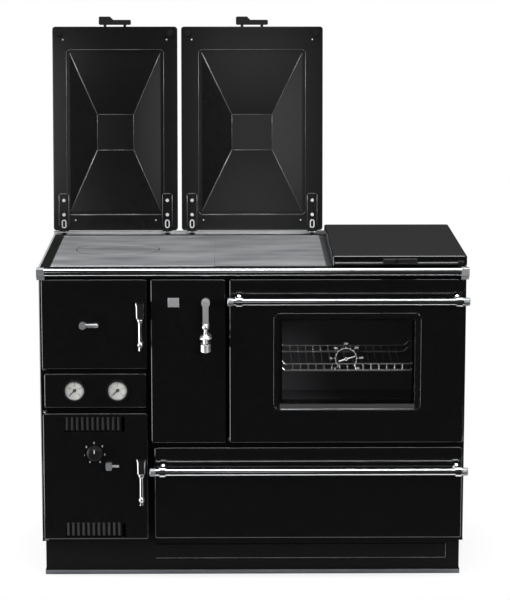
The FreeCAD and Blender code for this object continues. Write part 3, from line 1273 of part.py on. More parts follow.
def lid_grip(name, width):
    """Moulded grip in front of the lid's edge: a thick end stepping down to a thin one, on two studs."""
    low_x = f"(({width} - grip_width) / 2)"
    back_y = f"({LID_Y[0]} - grip_gap)"
    low_z = f"({LID_UNDER} + grip_rise)"
    step = "(grip_depth - grip_thin_depth)"
    body = extrude(name + "_bar", "XY_Plane", [
        ("0", "0"), ("grip_thick_width", "0"), (f"grip_thick_width + {step}", step), ("grip_width", step),
        ("grip_width", "grip_depth"), ("0", "grip_depth")], "grip_height")
    dress(body, "Fillet", "grip_stud_radius", along("Z"), lambda edge, whole: edge.XMax > whole.XMax - TOUCH
          or edge.XMin < whole.XMin + TOUCH)
    dress(body, "Fillet", "grip_stud_radius / 2", on("ZMax"))
    place(body, low_x, f"{back_y} - grip_depth", low_z)
    studs = []
    for i, x in enumerate((f"{low_x} + grip_stud_inset", f"{low_x} + grip_width - grip_stud_inset")):
        studs.append(rod(f"{name}_stud_{i}", "y", "grip_stud_radius", (back_y, LID_Y[0]),
                         (x, f"{low_z} + grip_height / 2")))
    return fuse(name, [body] + studs)


posts = []
for name, (low_x, width, margin, flat, is_open) in LIDS.items():
    lid = "lid_" + name
    lid_x = ("0", width)
    shell = slab(lid + "_slab", lid_x, LID_Y, LID_Z)
    dress(shell, "Fillet", "lid_corner", along("Z"))
    dress(shell, "Fillet", "lid_edge", on("ZMax"))
    hang(lid + "_shell", cut(lid + "_hollowed", shell, [
        block(lid + "_hollow", grown(lid_x, "-lid_sheet"), grown(LID_Y, "-lid_sheet"),
              (f"{LID_Z[0]} - {PAST}", f"{LID_Z[1]} - lid_sheet"))]), low_x, is_open)
    hang(lid + "_liner", pressed_liner(lid + "_pressing", width, margin, flat), low_x, is_open)
    leaf_x = ("leaf_inset", f"({width} - leaf_inset - leaf_width)")
    leaves = [hinge_leaf(f"{lid}_leaf_{i}", x) for i, x in enumerate(leaf_x)]
    hang(lid + "_hinge_leaves", gather(lid + "_leaves", leaves), low_x, is_open)
    feet = []
    for i, x in enumerate(("buffer_inset", f"{width} - buffer_inset")):
        feet.append(taper(f"{lid}_buffer_{i}", "z", ("buffer_tip", "buffer_radius"),
                          (f"{LID_UNDER} - lid_clearance", LID_UNDER), (x, f"{LID_Y[0]} + buffer_inset")))
    hang(lid + "_buffers", gather(lid + "_feet", feet), low_x, is_open)
    hang(lid + "_handle", lid_grip(lid + "_grip", width), low_x, is_open)
    for i, x in enumerate(leaf_x):
        post = hinge_post(f"{lid}_post_{i}", x)
        place(post, low_x, LID_HINGE_Y, LID_HINGE_Z)
        posts.append(post)
node("lid_hinge_posts", gather("lid_hinge_posts", posts))


# Check every object and write each sub-part

doc.recompute()
for obj in doc.Objects:
    if "Invalid" in obj.State or "Error" in obj.State:
        raise RuntimeError(f"{obj.Label} failed: {obj.State}")
for obj in NODES:
    if obj.Shape.isNull() or not obj.Shape.isValid() or not obj.Shape.Solids:
        raise RuntimeError(f"{obj.Label} has no valid solid")
os.makedirs("parts", exist_ok=True)
for obj in NODES:
    obj.Shape.exportStep(f"parts/{obj.Label}.step")
print(len(NODES), "nodes,", sum(len(obj.Shape.Solids) for obj in NODES), "solids")
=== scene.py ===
import json
import math
import bmesh
import bpy
from mathutils import Matrix, Vector


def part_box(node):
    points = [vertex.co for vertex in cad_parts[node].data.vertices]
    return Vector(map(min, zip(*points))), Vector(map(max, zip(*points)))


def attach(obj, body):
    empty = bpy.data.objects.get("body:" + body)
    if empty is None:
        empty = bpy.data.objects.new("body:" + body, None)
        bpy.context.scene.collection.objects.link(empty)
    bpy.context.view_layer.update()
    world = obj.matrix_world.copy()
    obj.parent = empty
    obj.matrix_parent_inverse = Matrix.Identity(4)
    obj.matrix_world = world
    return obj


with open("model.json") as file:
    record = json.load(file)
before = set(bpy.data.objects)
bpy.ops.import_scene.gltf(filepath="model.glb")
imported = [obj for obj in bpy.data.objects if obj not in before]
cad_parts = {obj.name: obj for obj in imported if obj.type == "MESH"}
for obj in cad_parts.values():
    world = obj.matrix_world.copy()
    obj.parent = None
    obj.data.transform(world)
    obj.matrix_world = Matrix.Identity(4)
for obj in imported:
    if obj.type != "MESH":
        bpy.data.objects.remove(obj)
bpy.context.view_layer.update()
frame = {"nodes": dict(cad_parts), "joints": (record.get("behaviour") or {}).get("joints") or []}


# Plinth: a folded sheet skirt on four sides, powder coated in satin black.
# Its front has a cover plate with bare edges, and a bare steel strip runs along the floor.

MM = 0.001
COVER_SHEET = 1 * MM
COVER_EDGE = 1 * MM
COVER_EDGE_PROUD = 0.2 * MM
STRIP_INSET = 7 * MM
STRIP_LIFT = 1 * MM
STRIP_HEIGHT = 10.5 * MM
STRIP_SHEET = 0.6 * MM


def linear(code):
    """An sRGB hex colour as the linear colour that a shader takes."""
    parts = [int(code[i:i + 2], 16) / 255 for i in (1, 3, 5)]
    return [*(c / 12.92 if c <= 0.04045 else ((c + 0.055) / 1.055) ** 2.4 for c in parts), 1.0]


def add(tree, kind, inputs, to=None, ramp=(), **settings):
    """Add a node with its settings and ramp, set or link its inputs, and link its first output."""
    made = tree.nodes.new(kind)
    for name, value in settings.items():
        setattr(made, name, value)
    for i, (position, code) in enumerate(ramp):
        made.color_ramp.elements[i].position = position
        made.color_ramp.elements[i].color = linear(code)
    for socket, value in inputs.items():
        if isinstance(value, bpy.types.NodeSocket):
            tree.links.new(value, made.inputs[socket])
        else:
            made.inputs[socket].default_value = value
    if to:
        tree.links.new(made.outputs[0], to)
    return made


def new_finish(name):
    """A new material: its node tree, its shader and its Object coordinates."""
    material = bpy.data.materials.new(name)
    material.use_nodes = True
    tree = material.node_tree
    spot = add(tree, "ShaderNodeTexCoord", {}).outputs["Object"]
    return material, tree, tree.nodes["Principled BSDF"], spot


def dress(material, *names):
    """Give CAD nodes a finish."""
    for name in names:
        mesh = frame["nodes"][name].data
        mesh.materials.clear()
        mesh.materials.append(material)


def block(shape, low, high):
    """A box between two corners."""
    low, high = Vector(low), Vector(high)
    place = Matrix.Translation((low + high) / 2) @ Matrix.Diagonal((*(high - low), 1))
    bmesh.ops.create_cube(shape, size=1, matrix=place)


def piece(name, shape, material, body):
    """Finish a mesh as a piece that rides on a body."""
    mesh = bpy.data.meshes.new(name)
    shape.to_mesh(mesh)
    shape.free()
    mesh.materials.append(material)
    made = bpy.data.objects.new(name, mesh)
    bpy.context.scene.collection.objects.link(made)
    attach(made, body)


# satin powder coat: fine grain of cured powder, about 1 mm, drawn at 2 mm so that it shows
powder_coat, tree, shader, spot = new_finish("powder_coat_satin_black")
shader.inputs["Roughness"].default_value = 0.42
shader.inputs["Specular IOR Level"].default_value = 0.08
grain = add(tree, "ShaderNodeTexNoise", {"Vector": spot, "Scale": 1000 / 2, "Detail": 3})
add(tree, "ShaderNodeValToRGB", {"Fac": grain.outputs[0]}, shader.inputs["Base Color"],
    ramp=((0, "#040404"), (1, "#070707")))
add(tree, "ShaderNodeBump", {"Height": grain.outputs[0], "Strength": 0.15, "Distance": 0.2 * MM},
    shader.inputs["Normal"])
dress(powder_coat, "plinth", "plinth_cover")

# ground steel: bare and grey, with fine grinding lines along X, drawn 0.8 mm apart so that they show
ground_steel, tree, shader, spot = new_finish("ground_steel")
shader.inputs["Metallic"].default_value = 1.0
lines = add(tree, "ShaderNodeMapping", {"Vector": spot, "Scale": (1000 / 90, 1000 / 0.8, 1000 / 0.8)})
grind = add(tree, "ShaderNodeTexNoise", {"Vector": lines.outputs[0], "Scale": 1.0, "Detail": 3})
add(tree, "ShaderNodeValToRGB", {"Fac": grind.outputs[0]}, shader.inputs["Base Color"],
    ramp=((0.3, "#55575a"), (0.7, "#75777a")))
add(tree, "ShaderNodeMapRange", {"Value": grind.outputs[0], "To Min": 0.3, "To Max": 0.42},
    shader.inputs["Roughness"])

plinth_low, plinth_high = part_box("plinth")
cover_low, cover_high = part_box("plinth_cover")
skirt = cover_low.y + COVER_SHEET
shape = bmesh.new()
block(shape, (plinth_low.x + STRIP_INSET, skirt - STRIP_SHEET, STRIP_LIFT),
      (plinth_high.x - STRIP_INSET, skirt, STRIP_LIFT + STRIP_HEIGHT))
piece("plinth_floor_strip", shape, ground_steel, "carcass")

edge_front = cover_low.y - COVER_EDGE_PROUD
edge_top = cover_low.z + COVER_EDGE
shape = bmesh.new()
block(shape, (cover_low.x, edge_front, cover_low.z), (cover_high.x, cover_low.y, edge_top))
block(shape, (cover_high.x - COVER_EDGE, edge_front, edge_top), (cover_high.x, cover_low.y, cover_high.z))
piece("plinth_cover_edge", shape, ground_steel, "carcass")


# Side panels, and the fixed panels of the front: pressed steel under glossy black vitreous enamel.
# The enamel is fired on, so it lies very smooth and rounds every edge.
# The rear panel and the frame behind the doors are only powder coated.

# vitreous enamel: deep black glass, a faint orange-peel swell of about 14 mm
enamel, tree, shader, spot = new_finish("vitreous_enamel_black")
shader.inputs["IOR"].default_value = 1.62
swell = add(tree, "ShaderNodeTexNoise", {"Vector": spot, "Scale": 1000 / 14, "Detail": 1})
add(tree, "ShaderNodeValToRGB", {"Fac": swell.outputs[0]}, shader.inputs["Base Color"],
    ramp=((0, "#080809"), (1, "#0d0d0e")))
add(tree, "ShaderNodeMapRange", {"Value": swell.outputs[0], "To Min": 0.06, "To Max": 0.1},
    shader.inputs["Roughness"])
add(tree, "ShaderNodeBump", {"Height": swell.outputs[0], "Strength": 0.04, "Distance": 0.1 * MM},
    shader.inputs["Normal"])
dress(enamel, "side_panel_left", "side_panel_right", "middle_panel", "gauge_panel")
dress(powder_coat, "rear_panel", "front_frame")


# Fasteners of the rear panel: plain pan-head screws of galvanised steel.
# They hold the panel to the carcass along its edges, and the flue flange to the panel.
# The pipe sockets, the hinge lugs, the ash pan and the drawer's box are galvanised too.

SCREW_RADIUS = 4.5 * MM
SCREW_TAPER = 0.75
SCREW_HIGH = 2.4 * MM
FRONT = -1
BACK = 1
SCREW_SIDE_MARGIN = 20 * MM
SCREW_END_MARGIN = 18 * MM
SCREWS_ACROSS = 7
SCREWS_UP = 5
FLANGE_SHEET = 4 * MM
FLANGE_CIRCLE = 84 * MM
FLANGE_SCREWS = 4
FLANGE_SCREW_RADIUS = 4 * MM

# galvanised steel: zinc crystals of about 6 mm that take the light differently
galvanised, tree, shader, spot = new_finish("galvanised_steel")
shader.inputs["Metallic"].default_value = 1.0
crystal = add(tree, "ShaderNodeTexVoronoi", {"Vector": spot, "Scale": 1000 / 6})
add(tree, "ShaderNodeValToRGB", {"Fac": crystal.outputs["Color"]}, shader.inputs["Base Color"],
    ramp=((0, "#9a9da0"), (1, "#b9bcbf")))
add(tree, "ShaderNodeMapRange", {"Value": crystal.outputs["Color"], "To Min": 0.28, "To Max": 0.45},
    shader.inputs["Roughness"])


def screw(shape, x, y, z, facing, radius=SCREW_RADIUS):
    """A pan-head screw on a face at y that looks to the front or to the back."""
    turn = Matrix.Translation((x, y, z)) @ Matrix.Rotation(math.radians(-90 * facing), 4, "X")
    bmesh.ops.create_cone(shape, cap_ends=True, segments=20, radius1=radius, radius2=radius * SCREW_TAPER,
                          depth=SCREW_HIGH, matrix=turn @ Matrix.Translation((0, 0, SCREW_HIGH / 2)))


rear_low, rear_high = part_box("rear_panel")
left, right = rear_low.x + SCREW_SIDE_MARGIN, rear_high.x - SCREW_SIDE_MARGIN
bottom, top = rear_low.z + SCREW_END_MARGIN, rear_high.z - SCREW_END_MARGIN
shape = bmesh.new()
for i in range(SCREWS_ACROSS):
    x = left + i * (right - left) / (SCREWS_ACROSS - 1)
    for z in (bottom, top):
        screw(shape, x, rear_high.y, z, BACK)
for i in range(1, SCREWS_UP - 1):
    z = bottom + i * (top - bottom) / (SCREWS_UP - 1)
    for x in (left, right):
        screw(shape, x, rear_high.y, z, BACK)
piece("rear_panel_screws", shape, galvanised, "carcass")

flue_low, flue_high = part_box("flue_spigot")
flue = (flue_low + flue_high) / 2
shape = bmesh.new()
for i in range(FLANGE_SCREWS):
    turn = math.radians(360 / FLANGE_SCREWS * (i + 0.5))
    screw(shape, flue.x + FLANGE_CIRCLE * math.cos(turn), flue_low.y + FLANGE_SHEET,
          flue.z + FLANGE_CIRCLE * math.sin(turn), BACK, FLANGE_SCREW_RADIUS)
piece("flue_flange_screws", shape, galvanised, "carcass")
dress(galvanised, "flow_return_sockets", "ash_pan", "drawer_box", "drawer_runners", "door_hinge_lugs")


# Boiler body, grate and flue parts: heavy steel plate and grey iron castings behind the doors.
# The castings keep the grain of the sand mould; the plate is powder coated.

# grey iron: matt and dark, sand grain of about 1.5 mm
cast_iron, tree, shader, spot = new_finish("grey_cast_iron")
shader.inputs["Roughness"].default_value = 0.75
sand = add(tree, "ShaderNodeTexNoise", {"Vector": spot, "Scale": 1000 / 1.5, "Detail": 4})
add(tree, "ShaderNodeValToRGB", {"Fac": sand.outputs[0]}, shader.inputs["Base Color"],
    ramp=((0, "#232324"), (1, "#3a3a3b")))
add(tree, "ShaderNodeBump", {"Height": sand.outputs[0], "Strength": 0.5, "Distance": 0.5 * MM},
    shader.inputs["Normal"])
dress(cast_iron, "fire_grate", "firebox_door_inner", "damper_flap")
dress(powder_coat, "boiler_body", "flue_spigot")


# Oven box and its wire rack: the box is enamelled inside in grey with fine lighter specks.
# The rack is bent from bright plated wire and rests on the ledges.

# speckled enamel: mid grey, with lighter specks about 0.8 mm across every 5 mm
oven_enamel, tree, shader, spot = new_finish("speckled_oven_enamel")
shader.inputs["Roughness"].default_value = 0.3
specks = add(tree, "ShaderNodeTexVoronoi", {"Vector": spot, "Scale": 1000 / 5})
add(tree, "ShaderNodeValToRGB", {"Fac": specks.outputs["Distance"]}, shader.inputs["Base Color"],
    ramp=((0.08, "#8b8c8f"), (0.14, "#6c6c70")))
dress(oven_enamel, "oven_box")

# bright plated wire: faint marks of the drawing die, about 3 mm
bright_wire, tree, shader, spot = new_finish("bright_plated_wire")
shader.inputs["Metallic"].default_value = 0.85
drawn = add(tree, "ShaderNodeTexNoise", {"Vector": spot, "Scale": 1000 / 3, "Detail": 2})
add(tree, "ShaderNodeValToRGB", {"Fac": drawn.outputs[0]}, shader.inputs["Base Color"],
    ramp=((0, "#e6e7e8"), (1, "#fbfbfc")))
add(tree, "ShaderNodeMapRange", {"Value": drawn.outputs[0], "To Min": 0.18, "To Max": 0.26},
    shader.inputs["Roughness"])
dress(bright_wire, "oven_rack")


# Hob: two thick plates of ground steel in a black frame, with a round ring lid.
# A thin rope seal lies round the plates, and a dark joint round the ring lid.
# Plated strips cap the frame's rim and the face of its rear upstand.

HOB_PLATE_PROUD = 2 * MM
SLOPE_UP = 0.9
SLOPE_LEAN = 0.1
SEAL = 1.6 * MM
SEAL_HIGH = 1.2 * MM
SEAL_PLAY = 0.6 * MM
JOINT_NEAR = 110.3 * MM
JOINT_FAR = 112.2 * MM
JOINT_LOW = 0.02 * MM
JOINT_HIGH = 0.12 * MM
JOINT_STEPS = 96
UPSTAND = 9 * MM
REAR_TRIM_INSET = 1 * MM
REAR_TRIM_SHEET = 0.6 * MM
REAR_TRIM_LOW = 1.5 * MM
REAR_TRIM_HIGH = 10.5 * MM
HOB_RIM_WIDE = 5 * MM
HOB_RIM_HIGH = 3 * MM
RIM_TRIM_INSET = 0.2 * MM
RIM_TRIM_SHEET = 0.3 * MM
RIM_TRIM_FRONT = 2 * MM
RIM_TRIM_BACK = 1 * MM

# hob steel: ground along X, grinding lines 1.2 mm apart,
# with soft clouds of wear 180 mm long and 60 mm wide
hob_steel, tree, shader, spot = new_finish("ground_hob_steel")
shader.inputs["Metallic"].default_value = 1.0
lines = add(tree, "ShaderNodeMapping", {"Vector": spot, "Scale": (1000 / 140, 1000 / 1.2, 1000 / 1.2)})
grind = add(tree, "ShaderNodeTexNoise", {"Vector": lines.outputs[0], "Scale": 1.0, "Detail": 4})
drift = add(tree, "ShaderNodeMapping", {"Vector": spot, "Scale": (1000 / 180, 1000 / 60, 1000 / 60)})
cloud = add(tree, "ShaderNodeTexNoise", {"Vector": drift.outputs[0], "Scale": 1.0, "Detail": 3})
worn = add(tree, "ShaderNodeMix", {0: 0.6, 2: grind.outputs[0], 3: cloud.outputs[0]})
add(tree, "ShaderNodeValToRGB", {"Fac": worn.outputs[0]}, shader.inputs["Base Color"],
    ramp=((0.3, "#747679"), (0.7, "#b6b8ba")))
add(tree, "ShaderNodeMapRange", {"Value": grind.outputs[0], "To Min": 0.48, "To Max": 0.6},
    shader.inputs["Roughness"])
dress(hob_steel, "hob_plate_left", "hob_ring_lid", "hob_plate_right")
dress(powder_coat, "hob_frame")

# painted shade: the sloped end of the right plate is coloured darker for the shade on it, patchy over 15
# mm
slope_shade_steel, tree, shader, spot = new_finish("hob_steel_painted_slope_shade")
shader.inputs["Metallic"].default_value = 1.0
shader.inputs["Roughness"].default_value = 0.5
patch = add(tree, "ShaderNodeTexNoise", {"Vector": spot, "Scale": 1000 / 15, "Detail": 3})
add(tree, "ShaderNodeValToRGB", {"Fac": patch.outputs[0]}, shader.inputs["Base Color"],
    ramp=((0, "#4a4b4d"), (1, "#626466")))
plate = frame["nodes"]["hob_plate_right"]
plate.data.materials.append(slope_shade_steel)
# faces of the right plate that lean to the right take the painted shade
for facet in plate.data.polygons:
    facing = plate.matrix_world.to_3x3() @ facet.normal
    if facing.z > SLOPE_UP and facing.x > SLOPE_LEAN:
        facet.material_index = 1

# glass-fibre rope: black and matt, braid of about 4 mm
rope, tree, shader, spot = new_finish("glass_fibre_rope_black")
shader.inputs["Roughness"].default_value = 0.9
braid = add(tree, "ShaderNodeTexWave", {"Vector": spot, "Scale": 1000 / 4 / math.tau, "Distortion": 2.0},
            bands_direction="DIAGONAL")
add(tree, "ShaderNodeValToRGB", {"Fac": braid.outputs["Fac"]}, shader.inputs["Base Color"],
    ramp=((0, "#050505"), (1, "#101010")))

left_low, left_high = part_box("hob_plate_left")
right_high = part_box("hob_plate_right")[1]
deck_top = left_high.z - HOB_PLATE_PROUD
seal_low = Vector((left_low.x - SEAL_PLAY, left_low.y - SEAL_PLAY, deck_top))
seal_high = Vector((right_high.x + SEAL_PLAY, left_high.y + SEAL_PLAY, deck_top + SEAL_HIGH))
shape = bmesh.new()
for x in (seal_low.x - SEAL, seal_high.x):
    block(shape, (x, seal_low.y - SEAL, seal_low.z), (x + SEAL, seal_high.y + SEAL, seal_high.z))
for y in (seal_low.y - SEAL, seal_high.y):
    block(shape, (seal_low.x, y, seal_low.z), (seal_high.x, y + SEAL, seal_high.z))
piece("hob_seal", shape, rope, "carcass")

ring_low, ring_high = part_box("hob_ring_lid")
ring = (ring_low + ring_high) / 2
shape = bmesh.new()
crest = (JOINT_NEAR + JOINT_FAR) / 2
wedge = []
for reach, lift in ((JOINT_NEAR, JOINT_LOW), (JOINT_FAR, JOINT_LOW), (crest, JOINT_HIGH)):
    wedge.append(shape.verts.new((ring.x + reach, ring.y, ring_high.z + lift)))
wedge += [shape.edges.new((wedge[i - 1], wedge[i])) for i in range(3)]
bmesh.ops.spin(shape, geom=wedge, cent=ring, axis=(0, 0, 1), angle=math.radians(360), steps=JOINT_STEPS,
               use_merge=True)
bmesh.ops.recalc_face_normals(shape, faces=shape.faces)
piece("hob_ring_joint", shape, rope, "carcass")

# satin nickel: softly brushed plating, brush lines 0.6 mm apart along Z
satin_nickel, tree, shader, spot = new_finish("satin_nickel")
shader.inputs["Metallic"].default_value = 1.0
lines = add(tree, "ShaderNodeMapping", {"Vector": spot, "Scale": (1000 / 0.6, 1000 / 0.6, 1000 / 40)})
brush = add(tree, "ShaderNodeTexNoise", {"Vector": lines.outputs[0], "Scale": 1.0, "Detail": 3})
add(tree, "ShaderNodeValToRGB", {"Fac": brush.outputs[0]}, shader.inputs["Base Color"],
    ramp=((0, "#d2d3d5"), (1, "#eeeff1")))
add(tree, "ShaderNodeMapRange", {"Value": brush.outputs[0], "To Min": 0.4, "To Max": 0.5},
    shader.inputs["Roughness"])

frame_low, frame_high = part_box("hob_frame")
upstand = frame_high.y - UPSTAND
shape = bmesh.new()
block(shape, (frame_low.x + REAR_TRIM_INSET, upstand - REAR_TRIM_SHEET, deck_top + REAR_TRIM_LOW),
      (frame_high.x - REAR_TRIM_INSET, upstand, deck_top + REAR_TRIM_HIGH))
piece("hob_rear_trim", shape, satin_nickel, "carcass")

rim_top = deck_top + HOB_RIM_HIGH
shape = bmesh.new()
for x in (frame_low.x, frame_high.x - HOB_RIM_WIDE):
    block(shape, (x + RIM_TRIM_INSET, frame_low.y + RIM_TRIM_FRONT, rim_top),
          (x + HOB_RIM_WIDE - RIM_TRIM_INSET, upstand - RIM_TRIM_BACK, rim_top + RIM_TRIM_SHEET))
piece("hob_rim_trim", shape, satin_nickel, "carcass")


# Bare plate and damper lever on the middle panel: both are plated in satin nickel.
# The plate has eased edges and a plain face, and is held by a pin near each end.

BARE_PLATE_LEFT = 44 * MM
BARE_PLATE_DOWN = 48 * MM
BARE_PLATE_WIDE = 29 * MM
BARE_PLATE_TALL = 24 * MM
BARE_PLATE_SHEET = 1.2 * MM
BARE_PLATE_EASING = 0.6 * MM
PIN_INSET = 3 * MM
PIN_RADIUS = 1.3 * MM

panel_low, panel_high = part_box("middle_panel")
plate_low = Vector((panel_low.x + BARE_PLATE_LEFT, panel_low.y - BARE_PLATE_SHEET,
                    panel_high.z - BARE_PLATE_DOWN - BARE_PLATE_TALL))
plate_high = plate_low + Vector((BARE_PLATE_WIDE, BARE_PLATE_SHEET, BARE_PLATE_TALL))
shape = bmesh.new()
block(shape, plate_low, plate_high)
bmesh.ops.bevel(shape, geom=list(shape.edges), offset=BARE_PLATE_EASING, segments=2, profile=0.5,
                affect="EDGES", material=-1)
for x in (plate_low.x + PIN_INSET, plate_high.x - PIN_INSET):
    screw(shape, x, plate_low.y, (plate_low.z + plate_high.z) / 2, FRONT, PIN_RADIUS)
piece("bare_plate", shape, satin_nickel, "carcass")
dress(satin_nickel, "damper_lever")


# Boiler gauges: white lacquered dials in chromed cases, each under a flat glass.
# The left one reads water temperature and the right one pressure; marks are printed black.

DIAL_RADIUS = 23.6 * MM
DIAL_SHEET = 0.4 * MM
DIAL_BACK = 0.6 * MM
DIAL_START = 225
DIAL_SWEEP = 270
INK_PROUD = 0.08 * MM
INK_SUNK = 0.02 * MM
MARK_END = 21.5 * MM
LONG_MARK = 17 * MM
LONG_MARK_WIDE = 1.8 * MM
SHORT_MARK = 18.5 * MM
SHORT_MARK_WIDE = 1.0 * MM
DIAL_NUMBER = 6.2 * MM
DIAL_NUMBER_CIRCLE = 12.8 * MM
DIAL_RING = (21.2 * MM, 22 * MM)
DIAL_RING_STROKES = 54
DIAL_RING_STROKE = 1.95 * MM
CAP_FOOT = 4.2 * MM
CAP_TOP = 4.8 * MM
CAP_HIGH = 0.8 * MM
NUMBER_HALF = 0.05 * MM

# polished chrome: mirror bright, with faint buffing haze of about 20 mm
chrome, tree, shader, spot = new_finish("polished_chrome")
shader.inputs["Metallic"].default_value = 1.0
buffing = add(tree, "ShaderNodeTexNoise", {"Vector": spot, "Scale": 1000 / 20, "Detail": 2})
add(tree, "ShaderNodeValToRGB", {"Fac": buffing.outputs[0]}, shader.inputs["Base Color"],
    ramp=((0, "#bcbdbf"), (1, "#c8c9cb")))
add(tree, "ShaderNodeMapRange", {"Value": buffing.outputs[0], "To Min": 0.09, "To Max": 0.15},
    shader.inputs["Roughness"])
dress(chrome, "gauge_cases")

# printed dial: off-white lacquer with a faint paper-fine mottle of 2 mm
dial_white, tree, shader, spot = new_finish("dial_lacquer_white")
shader.inputs["Roughness"].default_value = 0.45
mottle = add(tree, "ShaderNodeTexNoise", {"Vector": spot, "Scale": 1000 / 2, "Detail": 2})
add(tree, "ShaderNodeValToRGB", {"Fac": mottle.outputs[0]}, shader.inputs["Base Color"],
    ramp=((0, "#b4b3af"), (1, "#c2c1bd")))

# printing ink and needle lacquer: flat black, slightly uneven over 3 mm
black_lacquer, tree, shader, spot = new_finish("lacquer_black")
shader.inputs["Roughness"].default_value = 0.4
mottle = add(tree, "ShaderNodeTexNoise", {"Vector": spot, "Scale": 1000 / 3, "Detail": 2})
add(tree, "ShaderNodeValToRGB", {"Fac": mottle.outputs[0]}, shader.inputs["Base Color"],
    ramp=((0, "#0b0b0b"), (1, "#141414")))
dress(black_lacquer, "temperature_needle", "pressure_needle")

# gauge glass: clear and thin, faintly uneven over 25 mm
gauge_glass, tree, shader, spot = new_finish("clear_gauge_glass")
shader.inputs["IOR"].default_value = 1.5
shader.inputs["Alpha"].default_value = 0.03
clear = add(tree, "ShaderNodeTexNoise", {"Vector": spot, "Scale": 1000 / 25})
add(tree, "ShaderNodeValToRGB", {"Fac": clear.outputs[0]}, shader.inputs["Base Color"],
    ramp=((0, "#e4e6e6"), (1, "#eef0f0")))
add(tree, "ShaderNodeMapRange", {"Value": clear.outputs[0], "To Min": 0.03, "To Max": 0.06},
    shader.inputs["Roughness"])
dress(gauge_glass, "gauge_glasses")


def stroke(shape, centre, angle, near, far, width, ink):
    """A printed mark between two radii; angle 0 points right and grows anticlockwise."""
    turn = Matrix.Translation(centre) @ Matrix.Rotation(math.radians(-angle), 4, "Y")
    low = Vector((near, ink[0] - centre.y, -width / 2))
    high = Vector((far, ink[1] - centre.y, width / 2))
    place = turn @ Matrix.Translation((low + high) / 2) @ Matrix.Diagonal((*(high - low), 1))
    bmesh.ops.create_cube(shape, size=1, matrix=place)


def number(shape, text, size, centre, angle, reach, y):
    """A printed number on a circle round a centre, upright and facing the front."""
    curve = bpy.data.curves.new("number", "FONT")
    curve.body = text
    curve.size = size
    curve.extrude = NUMBER_HALF
    curve.align_x = "CENTER"
    curve.align_y = "CENTER"
    holder = bpy.data.objects.new("number", curve)
    bpy.context.scene.collection.objects.link(holder)
    mesh = bpy.data.meshes.new_from_object(holder.evaluated_get(bpy.context.evaluated_depsgraph_get()))
    turn = math.radians(angle)
    place = Matrix.Translation((centre.x + reach * math.cos(turn), y, centre.z + reach * math.sin(turn)))
    mesh.transform(place @ Matrix.Rotation(math.radians(90), 4, "X"))
    shape.from_mesh(mesh)
    bpy.data.objects.remove(holder)
    bpy.data.curves.remove(curve)
    bpy.data.meshes.remove(mesh)


pivots = {joint["name"]: joint.get("pos_m") for joint in frame["joints"]}
for name, marks, numbered, unit in (("temperature", 12, 3, 10), ("pressure", 16, 4, 0.25)):
    centre = Vector(pivots[name + "_needle_turn"])
    dial_face = centre.y + DIAL_BACK
    place = Matrix.Translation((centre.x, dial_face + DIAL_SHEET / 2, centre.z))
    shape = bmesh.new()
    bmesh.ops.create_cone(shape, cap_ends=True, segments=64, radius1=DIAL_RADIUS, radius2=DIAL_RADIUS,
                          depth=DIAL_SHEET, matrix=place @ Matrix.Rotation(math.radians(90), 4, "X"))
    piece(name + "_dial", shape, dial_white, "carcass")

    ink = (dial_face - INK_PROUD, dial_face + INK_SUNK)
    shape = bmesh.new()
    for i in range(marks + 1):
        angle = DIAL_START - DIAL_SWEEP * i / marks
        if i % numbered == 0:
            stroke(shape, centre, angle, LONG_MARK, MARK_END, LONG_MARK_WIDE, ink)
            number(shape, str(round(i * unit)), DIAL_NUMBER, centre, angle, DIAL_NUMBER_CIRCLE, ink[0])
        else:
            stroke(shape, centre, angle, SHORT_MARK, MARK_END, SHORT_MARK_WIDE, ink)
    for i in range(DIAL_RING_STROKES):
        angle = DIAL_START - DIAL_SWEEP * (i + 0.5) / DIAL_RING_STROKES
        stroke(shape, centre, angle, *DIAL_RING, DIAL_RING_STROKE, ink)
    piece(name + "_dial_marks", shape, black_lacquer, "carcass")

    needle_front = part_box(name + "_needle")[0].y
    place = Matrix.Translation((centre.x, needle_front - CAP_HIGH / 2, centre.z))
    shape = bmesh.new()
    bmesh.ops.create_cone(shape, cap_ends=True, segments=32, radius1=CAP_FOOT, radius2=CAP_TOP,
                          depth=CAP_HIGH, matrix=place @ Matrix.Rotation(math.radians(-90), 4, "X"))
    piece(name + "_needle_cap", shape, black_lacquer, name + "_needle")


# Firebox door and ash door: enamelled castings, with chromed latch handles and small bare steel levers.
# The ash door has two rows of louvres, with the slats of the air register seen through them.
# The knob of the air thermostat is moulded, with a printed pointer and numbers round it.

SLATS = 11
SLAT_PITCH = 13.3 * MM
SLAT_LEFT = 59 * MM
SLAT_WIDE = 6 * MM
SLAT_LIFT = 3 * MM
SLAT_FRONT = 3 * MM
SLAT_BACK = 4.5 * MM
LOUVRE_TALL = 39 * MM
LOUVRE_BOTTOM_GAP = 7 * MM
LOUVRE_TOP_GAP = 9 * MM
KNOB_NUMBERS = 7
KNOB_START = 242
KNOB_STEP = 50
KNOB_NUMBER = 7 * MM
KNOB_NUMBER_CIRCLE = 27 * MM
KNOB_NUMBER_PROUD = 0.12 * MM
POINTER_ANGLE = 90
POINTER = (3 * MM, 12.5 * MM)
POINTER_WIDE = 1.8 * MM
POINTER_PROUD = 0.15 * MM
POINTER_SUNK = 0.05 * MM

dress(enamel, "firebox_door_panel", "ash_door_panel")
dress(chrome, "firebox_latch", "ash_latch")
dress(hob_steel, "firebox_air_lever", "ash_air_lever")

